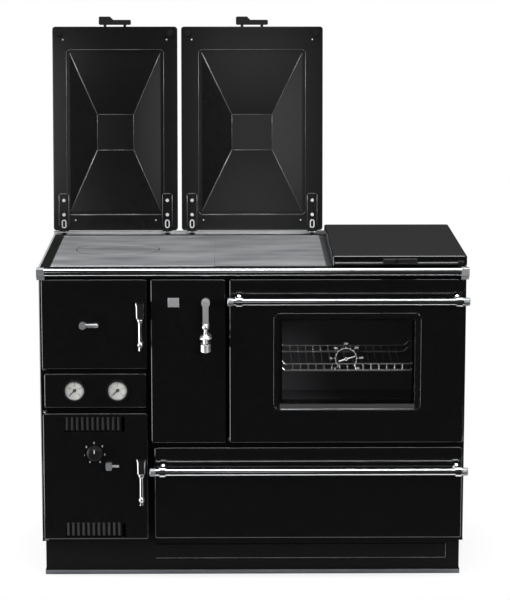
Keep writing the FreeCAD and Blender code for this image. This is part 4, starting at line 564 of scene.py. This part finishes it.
# heat-proof moulding: black phenolic, mould grain of about 1 mm, drawn at 2 mm so that it shows
phenolic, tree, shader, spot = new_finish("phenolic_moulding_black")
shader.inputs["Roughness"].default_value = 0.45
shader.inputs["Specular IOR Level"].default_value = 0.2
grain = add(tree, "ShaderNodeTexNoise", {"Vector": spot, "Scale": 1000 / 2, "Detail": 2})
add(tree, "ShaderNodeValToRGB", {"Fac": grain.outputs[0]}, shader.inputs["Base Color"],
    ramp=((0, "#080808"), (1, "#101010")))
add(tree, "ShaderNodeBump", {"Height": grain.outputs[0], "Strength": 0.1, "Distance": 0.1 * MM},
    shader.inputs["Normal"])
dress(phenolic, "thermostat_knob")

# white printing: slightly uneven over 3 mm
white_print, tree, shader, spot = new_finish("enamel_print_white")
shader.inputs["Roughness"].default_value = 0.4
mottle = add(tree, "ShaderNodeTexNoise", {"Vector": spot, "Scale": 1000 / 3, "Detail": 2})
add(tree, "ShaderNodeValToRGB", {"Fac": mottle.outputs[0]}, shader.inputs["Base Color"],
    ramp=((0, "#cfcfcd"), (1, "#e2e2e0")))

# the last louvre of each row is left open
ash_low, ash_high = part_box("ash_door_panel")
shape = bmesh.new()
for bottom in (ash_low.z + LOUVRE_BOTTOM_GAP, ash_high.z - LOUVRE_TOP_GAP - LOUVRE_TALL):
    for i in range(SLATS):
        x = ash_low.x + SLAT_LEFT + SLAT_PITCH * i
        block(shape, (x, ash_low.y + SLAT_FRONT, bottom + SLAT_LIFT),
              (x + SLAT_WIDE, ash_low.y + SLAT_BACK, bottom + LOUVRE_TALL))
piece("ash_register_slats", shape, cast_iron, "ash_door")

knob = Vector(pivots["thermostat_turn"])
shape = bmesh.new()
for i in range(KNOB_NUMBERS):
    number(shape, str(i), KNOB_NUMBER, knob, KNOB_START - KNOB_STEP * i, KNOB_NUMBER_CIRCLE,
           knob.y - KNOB_NUMBER_PROUD)
piece("thermostat_scale", shape, white_print, "ash_door")

knob_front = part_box("thermostat_knob")[0].y
ink = (knob_front - POINTER_PROUD, knob_front + POINTER_SUNK)
shape = bmesh.new()
stroke(shape, knob, POINTER_ANGLE, *POINTER, POINTER_WIDE, ink)
piece("thermostat_pointer", shape, white_print, "thermostat_knob")


# Oven door and drawer front: enamelled steel. The door has a bevelled window of dark glass.
# Enamelled beads edge the window's bevel. A steel rod on its lower edge stands for the frame's lower lip,
# and its light grey paints the highlight on that lip.
# The thermometer's needle turns on the glass, round a scale printed white.

OUTER_BEAD_OUT = 6.6 * MM
OUTER_BEAD_CORNER = 16.6 * MM
OUTER_BEAD_DEPTH = 0.3 * MM
OUTER_BEAD_RADIUS = 1.0 * MM
INNER_BEAD_IN = 8.6 * MM
INNER_BEAD_CORNER = 6 * MM
INNER_BEAD_DEPTH = 8.6 * MM
INNER_BEAD_RADIUS = 0.5 * MM
WELD = 0.01 * MM
SILL_RADIUS = 1.8 * MM
SILL_DEPTH = 1.6 * MM
SILL_DOWN = 4 * MM
SILL_SHORTER = 22 * MM
GLASS_SHEET = 4 * MM
GLASS_INK_PROUD = 0.15 * MM
GLASS_INK_GAP = 0.03 * MM
SCALE_START = 223
SCALE_SWEEP = 264
SCALE_TICKS = 12
SCALE_TICK_START = 27 * MM
SCALE_LONG_TICK = 31.5 * MM
SCALE_SHORT_TICK = 29.5 * MM
SCALE_TICK_WIDE = 0.9 * MM
SCALE_UNIT = 25
SCALE_NUMBER = 7 * MM
SCALE_NUMBER_CIRCLE = 39 * MM
SCALE_RING = (26.6 * MM, 27.3 * MM)
SCALE_RING_STROKES = 24
SCALE_RING_STROKE = 5.4 * MM

dress(enamel, "oven_door_panel", "oven_door_inner", "drawer_front")

# oven glass: grey tinted and clear, smooth, faintly uneven over 60 mm
oven_glass, tree, shader, spot = new_finish("tinted_oven_glass")
shader.inputs["IOR"].default_value = 1.5
shader.inputs["Alpha"].default_value = 0.18
clear = add(tree, "ShaderNodeTexNoise", {"Vector": spot, "Scale": 1000 / 60})
add(tree, "ShaderNodeValToRGB", {"Fac": clear.outputs[0]}, shader.inputs["Base Color"],
    ramp=((0, "#070708"), (1, "#0b0b0c")))
add(tree, "ShaderNodeMapRange", {"Value": clear.outputs[0], "To Min": 0.03, "To Max": 0.05},
    shader.inputs["Roughness"])
dress(oven_glass, "oven_glass")
dress(white_print, "thermometer_needle")


def bead(shape, low, high, corner, y, radius):
    """A thin round bead that follows a rectangle with rounded corners on the door's front."""
    left, right = low.x + corner, high.x - corner
    bottom, top = low.z + corner, high.z - corner
    corners = [Vector((x, y, z)) for x, z in ((right, top), (left, top), (left, bottom), (right, bottom))]
    begin = Matrix.Translation(corners[0] + Vector((corner, 0, 0)))
    end = bmesh.ops.create_circle(shape, segments=8, radius=radius, matrix=begin)["verts"]
    end += [edge for edge in shape.edges if edge.is_wire]
    for i in range(4):
        end = bmesh.ops.spin(shape, geom=end, cent=corners[i], axis=(0, -1, 0), angle=math.radians(90),
                             steps=6)["geom_last"]
        edges = [part for part in end if isinstance(part, bmesh.types.BMEdge)]
        drawn = bmesh.ops.extrude_edge_only(shape, edges=edges)["geom"]
        verts = [part for part in drawn if isinstance(part, bmesh.types.BMVert)]
        bmesh.ops.translate(shape, verts=verts, vec=corners[(i + 1) % 4] - corners[i])
        end = verts + [part for part in drawn if isinstance(part, bmesh.types.BMEdge) and part.is_boundary]
    bmesh.ops.remove_doubles(shape, verts=shape.verts, dist=WELD)
    bmesh.ops.recalc_face_normals(shape, faces=shape.faces)
    for facet in shape.faces:
        facet.smooth = True


oven_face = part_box("oven_door_panel")[0].y
glass_low, glass_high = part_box("oven_glass")
outer = Vector((OUTER_BEAD_OUT, 0, OUTER_BEAD_OUT))
inner = Vector((INNER_BEAD_IN, 0, INNER_BEAD_IN))
shape = bmesh.new()
bead(shape, glass_low - outer, glass_high + outer, OUTER_BEAD_CORNER, oven_face + OUTER_BEAD_DEPTH,
     OUTER_BEAD_RADIUS)
bead(shape, glass_low + inner, glass_high - inner, INNER_BEAD_CORNER, oven_face + INNER_BEAD_DEPTH,
     INNER_BEAD_RADIUS)
piece("window_beads", shape, enamel, "oven_door")

# the light grey rod paints the highlight along the bevel's lower lip
sill_lip_highlight = Vector(((glass_low.x + glass_high.x) / 2, oven_face + SILL_DEPTH, glass_low.z - SILL_DOWN))
shape = bmesh.new()
bmesh.ops.create_cone(shape, cap_ends=True, segments=16, radius1=SILL_RADIUS, radius2=SILL_RADIUS,
                      depth=glass_high.x - glass_low.x - SILL_SHORTER,
                      matrix=Matrix.Translation(sill_lip_highlight) @ Matrix.Rotation(math.radians(90), 4, "Y"))
for facet in shape.faces:
    facet.smooth = True
piece("window_lip_and_highlight", shape, hob_steel, "oven_door")

thermo = Vector(pivots["thermometer_turn"])
glass_face = glass_high.y - GLASS_SHEET
ink = (glass_face - GLASS_INK_PROUD, glass_face - GLASS_INK_GAP)
shape = bmesh.new()
for i in range(SCALE_RING_STROKES):
    angle = SCALE_START - SCALE_SWEEP * (i + 0.5) / SCALE_RING_STROKES
    stroke(shape, thermo, angle, *SCALE_RING, SCALE_RING_STROKE, ink)
for i in range(SCALE_TICKS + 1):
    angle = SCALE_START - SCALE_SWEEP * i / SCALE_TICKS
    if i % 2 == 0:
        stroke(shape, thermo, angle, SCALE_TICK_START, SCALE_LONG_TICK, SCALE_TICK_WIDE, ink)
        number(shape, str(SCALE_UNIT * i), SCALE_NUMBER, thermo, angle, SCALE_NUMBER_CIRCLE, ink[0])
    else:
        stroke(shape, thermo, angle, SCALE_TICK_START, SCALE_SHORT_TICK, SCALE_TICK_WIDE, ink)
piece("thermometer_scale", shape, white_print, "oven_door")


# Chrome tubes: the oven and drawer handles on ring brackets, and the rail along the hob's front.
# They are polished and plated steel tube; the turned end caps are bare ground steel.

TUBE_END = 15 * MM

for name in ("oven_handle", "drawer_handle", "top_rail"):
    dress(chrome, name)
    tube = frame["nodes"][name]
    tube.data.materials.append(hob_steel)
    tube_low, tube_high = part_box(name)
    for facet in tube.data.polygons:
        x = (tube.matrix_world @ facet.center).x
        if x < tube_low.x + TUBE_END or x > tube_high.x - TUBE_END:
            facet.material_index = 1


# Lids: three enamelled shells with pressed liners, hinged at the back on black sheet leaves.
# Rubber buffers sit at the front corners and a moulded handle is screwed on.
# A lid's sizes are in millimetres from its hinge: Y is negative towards the handle, Z is up when shut.

SHUT = 0
OPEN = -95
RIM_NEAR = -51.5
RIM_FAR = -509.5
RIM_CORNER_X = 7
RIM_CORNER_Y = 6.5
SHELF = 9
SHELF_Z = 5
FLAT_Z = 16
FLAT_DEEP = 99

# half width and height of the ridges that carry the painted highlight lines along the liner's creases and
# the leaves' edges; they are wider where the highlight is brighter, as on the left slopes and the near rim
FAINT = (0.5, 0.3)
SLOPE_LEFT = (1.5, 0.7)
SLOPE_RIGHT = (0.7, 0.4)
FLAT_NEAR_EDGE = (0.7, 0.3)
FLAT_FAR_EDGE = (0.45, 0.3)
RIM_NEAR_EDGE = (1.6, 0.8)
RIM_NEAR_CORNER = (0.9, 0.5)
LEAF_SIDE_EDGE = (0.7, 0.4)
LEAF_END_EDGE = (1.0, 0.5)

LEAF_IN = 29
LEAF_Z = -3
LEAF_HALF = 14
LEAF_START = -20
LEAF_END = -110.5
LEAF_CORNER = 3
LEAF_EDGE = 0.4
BOLT_ROWS = (-51.5, -91.5)
BOLT_HIGH = 1.8
BOLT_FOOT = 5.3
BOLT_TOP = 4.6
LINK_NEAR = -14
LINK_FAR = -38
LINK_WIDE = 13
LINK_BAR = 3
LINK_SHEET = 1.6
LINK_STEPS = 24

# small rivets: each one's distance in from the shell's side, and its place along Y
RIVETS = ((61, -36), (29, -537))
RIVET_HIGH = 1
RIVET_FOOT = 2.2
RIVET_TOP = 1.6

# moulded rubber: matt black, bloom of about 2 mm
rubber, tree, shader, spot = new_finish("moulded_rubber_black")
shader.inputs["Roughness"].default_value = 0.8
shader.inputs["Specular IOR Level"].default_value = 0.1
bloom = add(tree, "ShaderNodeTexNoise", {"Vector": spot, "Scale": 1000 / 2, "Detail": 2})
add(tree, "ShaderNodeValToRGB", {"Fac": bloom.outputs[0]}, shader.inputs["Base Color"],
    ramp=((0, "#060606"), (1, "#0d0d0d")))

# ground coat: the single smooth coat of black enamel on liners and leaves, mottled over 9 mm
ground_coat, tree, shader, spot = new_finish("enamel_ground_coat")
mottle = add(tree, "ShaderNodeTexNoise", {"Vector": spot, "Scale": 1000 / 9, "Detail": 3})
add(tree, "ShaderNodeValToRGB", {"Fac": mottle.outputs[0]}, shader.inputs["Base Color"],
    ramp=((0, "#050506"), (1, "#09090a")))
add(tree, "ShaderNodeMapRange", {"Value": mottle.outputs[0], "To Min": 0.12, "To Max": 0.18},
    shader.inputs["Roughness"])

# painted highlight: the ridges on the creases and on the leaves' edges are coloured light grey for the
# light lines on them, patchy over 12 mm
painted_highlight_grey, tree, shader, spot = new_finish("painted_highlight_lines")
shader.inputs["Roughness"].default_value = 0.3
patch = add(tree, "ShaderNodeTexNoise", {"Vector": spot, "Scale": 1000 / 12, "Detail": 2})
add(tree, "ShaderNodeValToRGB", {"Fac": patch.outputs[0]}, shader.inputs["Base Color"],
    ramp=((0, "#323234"), (1, "#4c4c4e")))


def ridge(shape, start, end, size):
    """A pressed ridge between two points of a lid's underside."""
    start, end = Vector(start) * MM, Vector(end) * MM
    along = (end - start).normalized()
    across = along.cross((0, 0, 1)).normalized()
    turn = Matrix((across, along.cross(across), along)).transposed().to_4x4()
    place = Matrix.Translation((start + end) / 2) @ turn @ Matrix.Diagonal((*size, 1, 1))
    made = bmesh.ops.create_cone(shape, cap_ends=True, segments=12, radius1=MM, radius2=MM,
                                 depth=(end - start).length, matrix=place)
    for vert in made["verts"]:
        for facet in vert.link_faces:
            facet.smooth = True


def head(shape, x, y, z, high, foot, top):
    """A round head under a face at z."""
    place = Matrix.Translation(Vector((x, y, z - high / 2)) * MM)
    bmesh.ops.create_cone(shape, cap_ends=True, segments=24, radius1=top * MM, radius2=foot * MM,
                          depth=high * MM, matrix=place)


def link(shape, x):
    """A flat link with rounded ends under a hinge leaf: two rims, drawn long and raised."""
    far_end = Vector((x, LINK_FAR + LINK_WIDE / 2, LEAF_Z - LINK_SHEET)) * MM
    place = Matrix.Translation(far_end) @ Matrix.Rotation(math.radians(180 / LINK_STEPS), 4, "Z")
    verts = []
    for radius in (LINK_WIDE / 2, LINK_WIDE / 2 - LINK_BAR):
        rim = bmesh.ops.create_circle(shape, segments=LINK_STEPS, radius=radius * MM, matrix=place)
        verts += rim["verts"]
    rims = [edge for edge in shape.edges if edge.is_wire]
    flat = bmesh.ops.bridge_loops(shape, edges=rims)["faces"]
    raised = bmesh.ops.extrude_face_region(shape, geom=flat)["geom"]
    raised = [part for part in raised if isinstance(part, bmesh.types.BMVert)]
    bmesh.ops.translate(shape, verts=raised, vec=(0, 0, LINK_SHEET * MM))
    near_half = [vert for vert in verts + raised if vert.co.y > far_end.y]
    bmesh.ops.translate(shape, verts=near_half, vec=(0, (LINK_NEAR - LINK_FAR - LINK_WIDE) * MM, 0))


for lid, rim_margin, flat_wide, rest in (("lid_left", 38, 101, OPEN), ("lid_middle", 48, 112, OPEN),
                                         ("lid_right", 38, 101, SHUT)):
    dress(enamel, lid + "_shell")
    dress(ground_coat, lid + "_liner", lid + "_hinge_leaves")
    dress(rubber, lid + "_buffers")
    dress(phenolic, lid + "_handle")
    hung = Matrix.Translation(pivots[lid + "_hinge"]) @ Matrix.Rotation(math.radians(rest), 4, "X")
    shell_low, shell_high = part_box(lid + "_shell")
    half = (shell_high.x - shell_low.x) / 2 / MM

    rim = half - rim_margin
    rim_end = rim - RIM_CORNER_X
    near, far = RIM_NEAR - RIM_CORNER_Y, RIM_FAR + RIM_CORNER_Y
    flat = flat_wide / 2
    flat_near = (RIM_NEAR + RIM_FAR + FLAT_DEEP) / 2
    flat_far = flat_near - FLAT_DEEP
    # the crease ridges are light grey: a painted highlight along each crease
    shape = bmesh.new()
    for side, slope in ((-1, SLOPE_LEFT), (1, SLOPE_RIGHT)):
        for y, flat_y in ((RIM_NEAR - SHELF, flat_near), (RIM_FAR + SHELF, flat_far)):
            ridge(shape, (side * (rim - SHELF), y, SHELF_Z), (side * flat, flat_y, FLAT_Z), slope)
        ridge(shape, (side * flat, flat_near, FLAT_Z), (side * flat, flat_far, FLAT_Z), FAINT)
        ridge(shape, (side * rim, near, 0), (side * rim, far, 0), FAINT)
        ridge(shape, (side * rim, near, 0), (side * rim_end, RIM_NEAR, 0), RIM_NEAR_CORNER)
        ridge(shape, (side * rim, far, 0), (side * rim_end, RIM_FAR, 0), FAINT)
    ridge(shape, (-flat, flat_near, FLAT_Z), (flat, flat_near, FLAT_Z), FLAT_NEAR_EDGE)
    ridge(shape, (-flat, flat_far, FLAT_Z), (flat, flat_far, FLAT_Z), FLAT_FAR_EDGE)
    ridge(shape, (-rim_end, RIM_FAR, 0), (rim_end, RIM_FAR, 0), FAINT)
    ridge(shape, (-rim_end, RIM_NEAR, 0), (rim_end, RIM_NEAR, 0), RIM_NEAR_EDGE)
    bmesh.ops.transform(shape, matrix=hung, verts=shape.verts)
    piece(lid + "_liner_highlight_ridges", shape, painted_highlight_grey, lid)

    # light grey ridges along the hinge leaves' edges: a painted highlight on each edge
    shape = bmesh.new()
    for leaf in (LEAF_IN - half, half - LEAF_IN):
        for x in (leaf - LEAF_HALF + LEAF_EDGE, leaf + LEAF_HALF - LEAF_EDGE):
            ridge(shape, (x, LEAF_START, LEAF_Z), (x, LEAF_END + LEAF_CORNER, LEAF_Z), LEAF_SIDE_EDGE)
        y = LEAF_END + LEAF_EDGE
        reach = LEAF_HALF - LEAF_CORNER
        ridge(shape, (leaf - reach, y, LEAF_Z), (leaf + reach, y, LEAF_Z), LEAF_END_EDGE)
    bmesh.ops.transform(shape, matrix=hung, verts=shape.verts)
    piece(lid + "_leaf_edge_highlights", shape, painted_highlight_grey, lid)

    shape = bmesh.new()
    for side in (-1, 1):
        leaf = side * (half - LEAF_IN)
        for y in BOLT_ROWS:
            head(shape, leaf, y, LEAF_Z, BOLT_HIGH, BOLT_FOOT, BOLT_TOP)
        link(shape, leaf)
        for inset, y in RIVETS:
            head(shape, side * (half - inset), y, 0, RIVET_HIGH, RIVET_FOOT, RIVET_TOP)
    bmesh.ops.recalc_face_normals(shape, faces=shape.faces)
    bmesh.ops.transform(shape, matrix=hung, verts=shape.verts)
    piece(lid + "_bolts", shape, satin_nickel, lid)
dress(ground_steel, "lid_hinge_posts")


# Studio: a pale floor that fades to white, soft boxes at the left, above and in front, white behind.
# Weak cards in front give the lids and the window their sheen. Sizes are in metres.
# Polished surfaces see a dark room near the horizon, so that the enamel stays black.

FLOOR_HALF = 1.6
FLOOR_FRONT = -0.5
FLOOR_BACK = 1.6
FLOOR_BOTTOM = -0.02
FLOOR_TOP = -0.0005
FADE_HALF_WIDE = 0.62
FADE_HALF_DEEP = 0.4
FADE_FROM = 0.85
FADE_TO = 1.4
FADE_WHITE = 0.7
ROOM_LEAN = 0.35
ROOM_DARK = 0.02
ROOM_LIGHT = 0.36
ROOM_FROM = 0.35
ROOM_TO = 0.95
ROOM_FILL = 0.5

floor_paint, tree, shader, spot = new_finish("studio_floor")
shader.inputs["Base Color"].default_value = linear("#f4f4f4")
shader.inputs["Roughness"].default_value = 0.9
shader.inputs["Specular IOR Level"].default_value = 0.0
rays = add(tree, "ShaderNodeLightPath", {})
white = add(tree, "ShaderNodeEmission", {"Color": (1, 1, 1, 1), "Strength": 1.0})
oval = add(tree, "ShaderNodeMapping", {"Vector": spot,
                                       "Scale": (1 / FADE_HALF_WIDE, 1 / FADE_HALF_DEEP, 0)})
away = add(tree, "ShaderNodeVectorMath", {0: oval.outputs[0]}, operation="LENGTH")
fade = add(tree, "ShaderNodeMapRange", {"Value": away.outputs["Value"], "From Min": FADE_FROM,
                                        "From Max": FADE_TO, "To Min": FADE_WHITE, "To Max": 1.0})
seen = add(tree, "ShaderNodeMath", {0: rays.outputs["Is Camera Ray"], 1: fade.outputs[0]},
           operation="MULTIPLY")
add(tree, "ShaderNodeMixShader", {0: seen.outputs[0], 1: shader.outputs[0], 2: white.outputs[0]},
    tree.nodes["Material Output"].inputs["Surface"])
shape = bmesh.new()
block(shape, (-FLOOR_HALF, FLOOR_FRONT, FLOOR_BOTTOM), (FLOOR_HALF, FLOOR_BACK, FLOOR_TOP))
mesh = bpy.data.meshes.new("studio_floor")
shape.to_mesh(mesh)
shape.free()
mesh.materials.append(floor_paint)
floor = bpy.data.objects.new("studio_floor", mesh)
bpy.context.scene.collection.objects.link(floor)

world = bpy.data.worlds.new("studio")
bpy.context.scene.world = world
world.use_nodes = True
tree = world.node_tree
background = tree.nodes["Background"]
background.inputs["Color"].default_value = (1, 1, 1, 1)
rays = add(tree, "ShaderNodeLightPath", {})
way = add(tree, "ShaderNodeTexCoord", {})
lean = add(tree, "ShaderNodeVectorMath", {0: way.outputs["Generated"], 1: (0, ROOM_LEAN, 1)},
           operation="DOT_PRODUCT")
room = add(tree, "ShaderNodeMapRange", {"Value": lean.outputs["Value"], "From Min": ROOM_FROM,
                                        "From Max": ROOM_TO, "To Min": ROOM_DARK, "To Max": ROOM_LIGHT},
           interpolation_type="SMOOTHSTEP")
gloss = add(tree, "ShaderNodeMix", {0: rays.outputs["Is Glossy Ray"], 2: ROOM_FILL, 3: room.outputs[0]})
shown = add(tree, "ShaderNodeMath", {0: rays.outputs["Is Camera Ray"],
                                     1: rays.outputs["Is Transmission Ray"]}, operation="MAXIMUM")
add(tree, "ShaderNodeMix", {0: shown.outputs[0], 2: gloss.outputs[0], 3: 1.0},
    background.inputs["Strength"])


def soft_box(name, place, aim, width, height, watts):
    """A rectangular soft box turned towards a point."""
    lamp = bpy.data.lights.new(name, "AREA")
    lamp.shape = "RECTANGLE"
    lamp.size = width
    lamp.size_y = height
    lamp.energy = watts
    made = bpy.data.objects.new(name, lamp)
    made.location = place
    made.rotation_euler = (Vector(aim) - Vector(place)).to_track_quat("-Z", "Y").to_euler()
    bpy.context.scene.collection.objects.link(made)


soft_box("soft_box_left", (-3.6, -1.3, 0.7), (-0.2, -0.3, 0.7), width=1.4, height=2.8, watts=160)
soft_box("soft_box_top", (0.0, -0.5, 3.4), (0.0, -0.5, 0.8), width=2.6, height=1.0, watts=150)
soft_box("soft_box_front", (2.7, -4.0, 1.9), (0.1, -0.2, 0.6), width=1.2, height=1.0, watts=130)
soft_box("card_lids", (-1.3, -4.2, 1.45), (-0.2, 0.3, 1.1), width=1.0, height=0.8, watts=3.2)
soft_box("card_middle", (0.05, -4.2, 1.45), (0.0, 0.3, 1.1), width=0.5, height=1.0, watts=1.2)
soft_box("card_window", (0.25, -1.9, 2.25), (0.25, -0.3, 0.5), width=1.0, height=0.3, watts=0.8)


# Camera: a long lens 6.4 m in front of the stove's middle and about a metre above the hob.
# It looks down ten degrees and a little to the right, as the photograph was taken.

FOCAL_PIXELS = 2418.4
PHOTO_TALL_PIXELS = 600
SENSOR = 36
EYE = (-0.0554, -6.4044, 1.8179)
LOOK_DOWN = 10.037
LOOK_RIGHT = 0.573

camera = bpy.data.cameras.new("camera")
camera.sensor_width = SENSOR
camera.lens = FOCAL_PIXELS / PHOTO_TALL_PIXELS * SENSOR
camera.clip_end = 100
eye = bpy.data.objects.new("camera", camera)
eye.location = EYE
eye.rotation_euler = (math.radians(90 - LOOK_DOWN), 0, math.radians(-LOOK_RIGHT))
bpy.context.scene.collection.objects.link(eye)
bpy.context.scene.camera = eye
bpy.context.scene.view_settings.view_transform = "Standard"
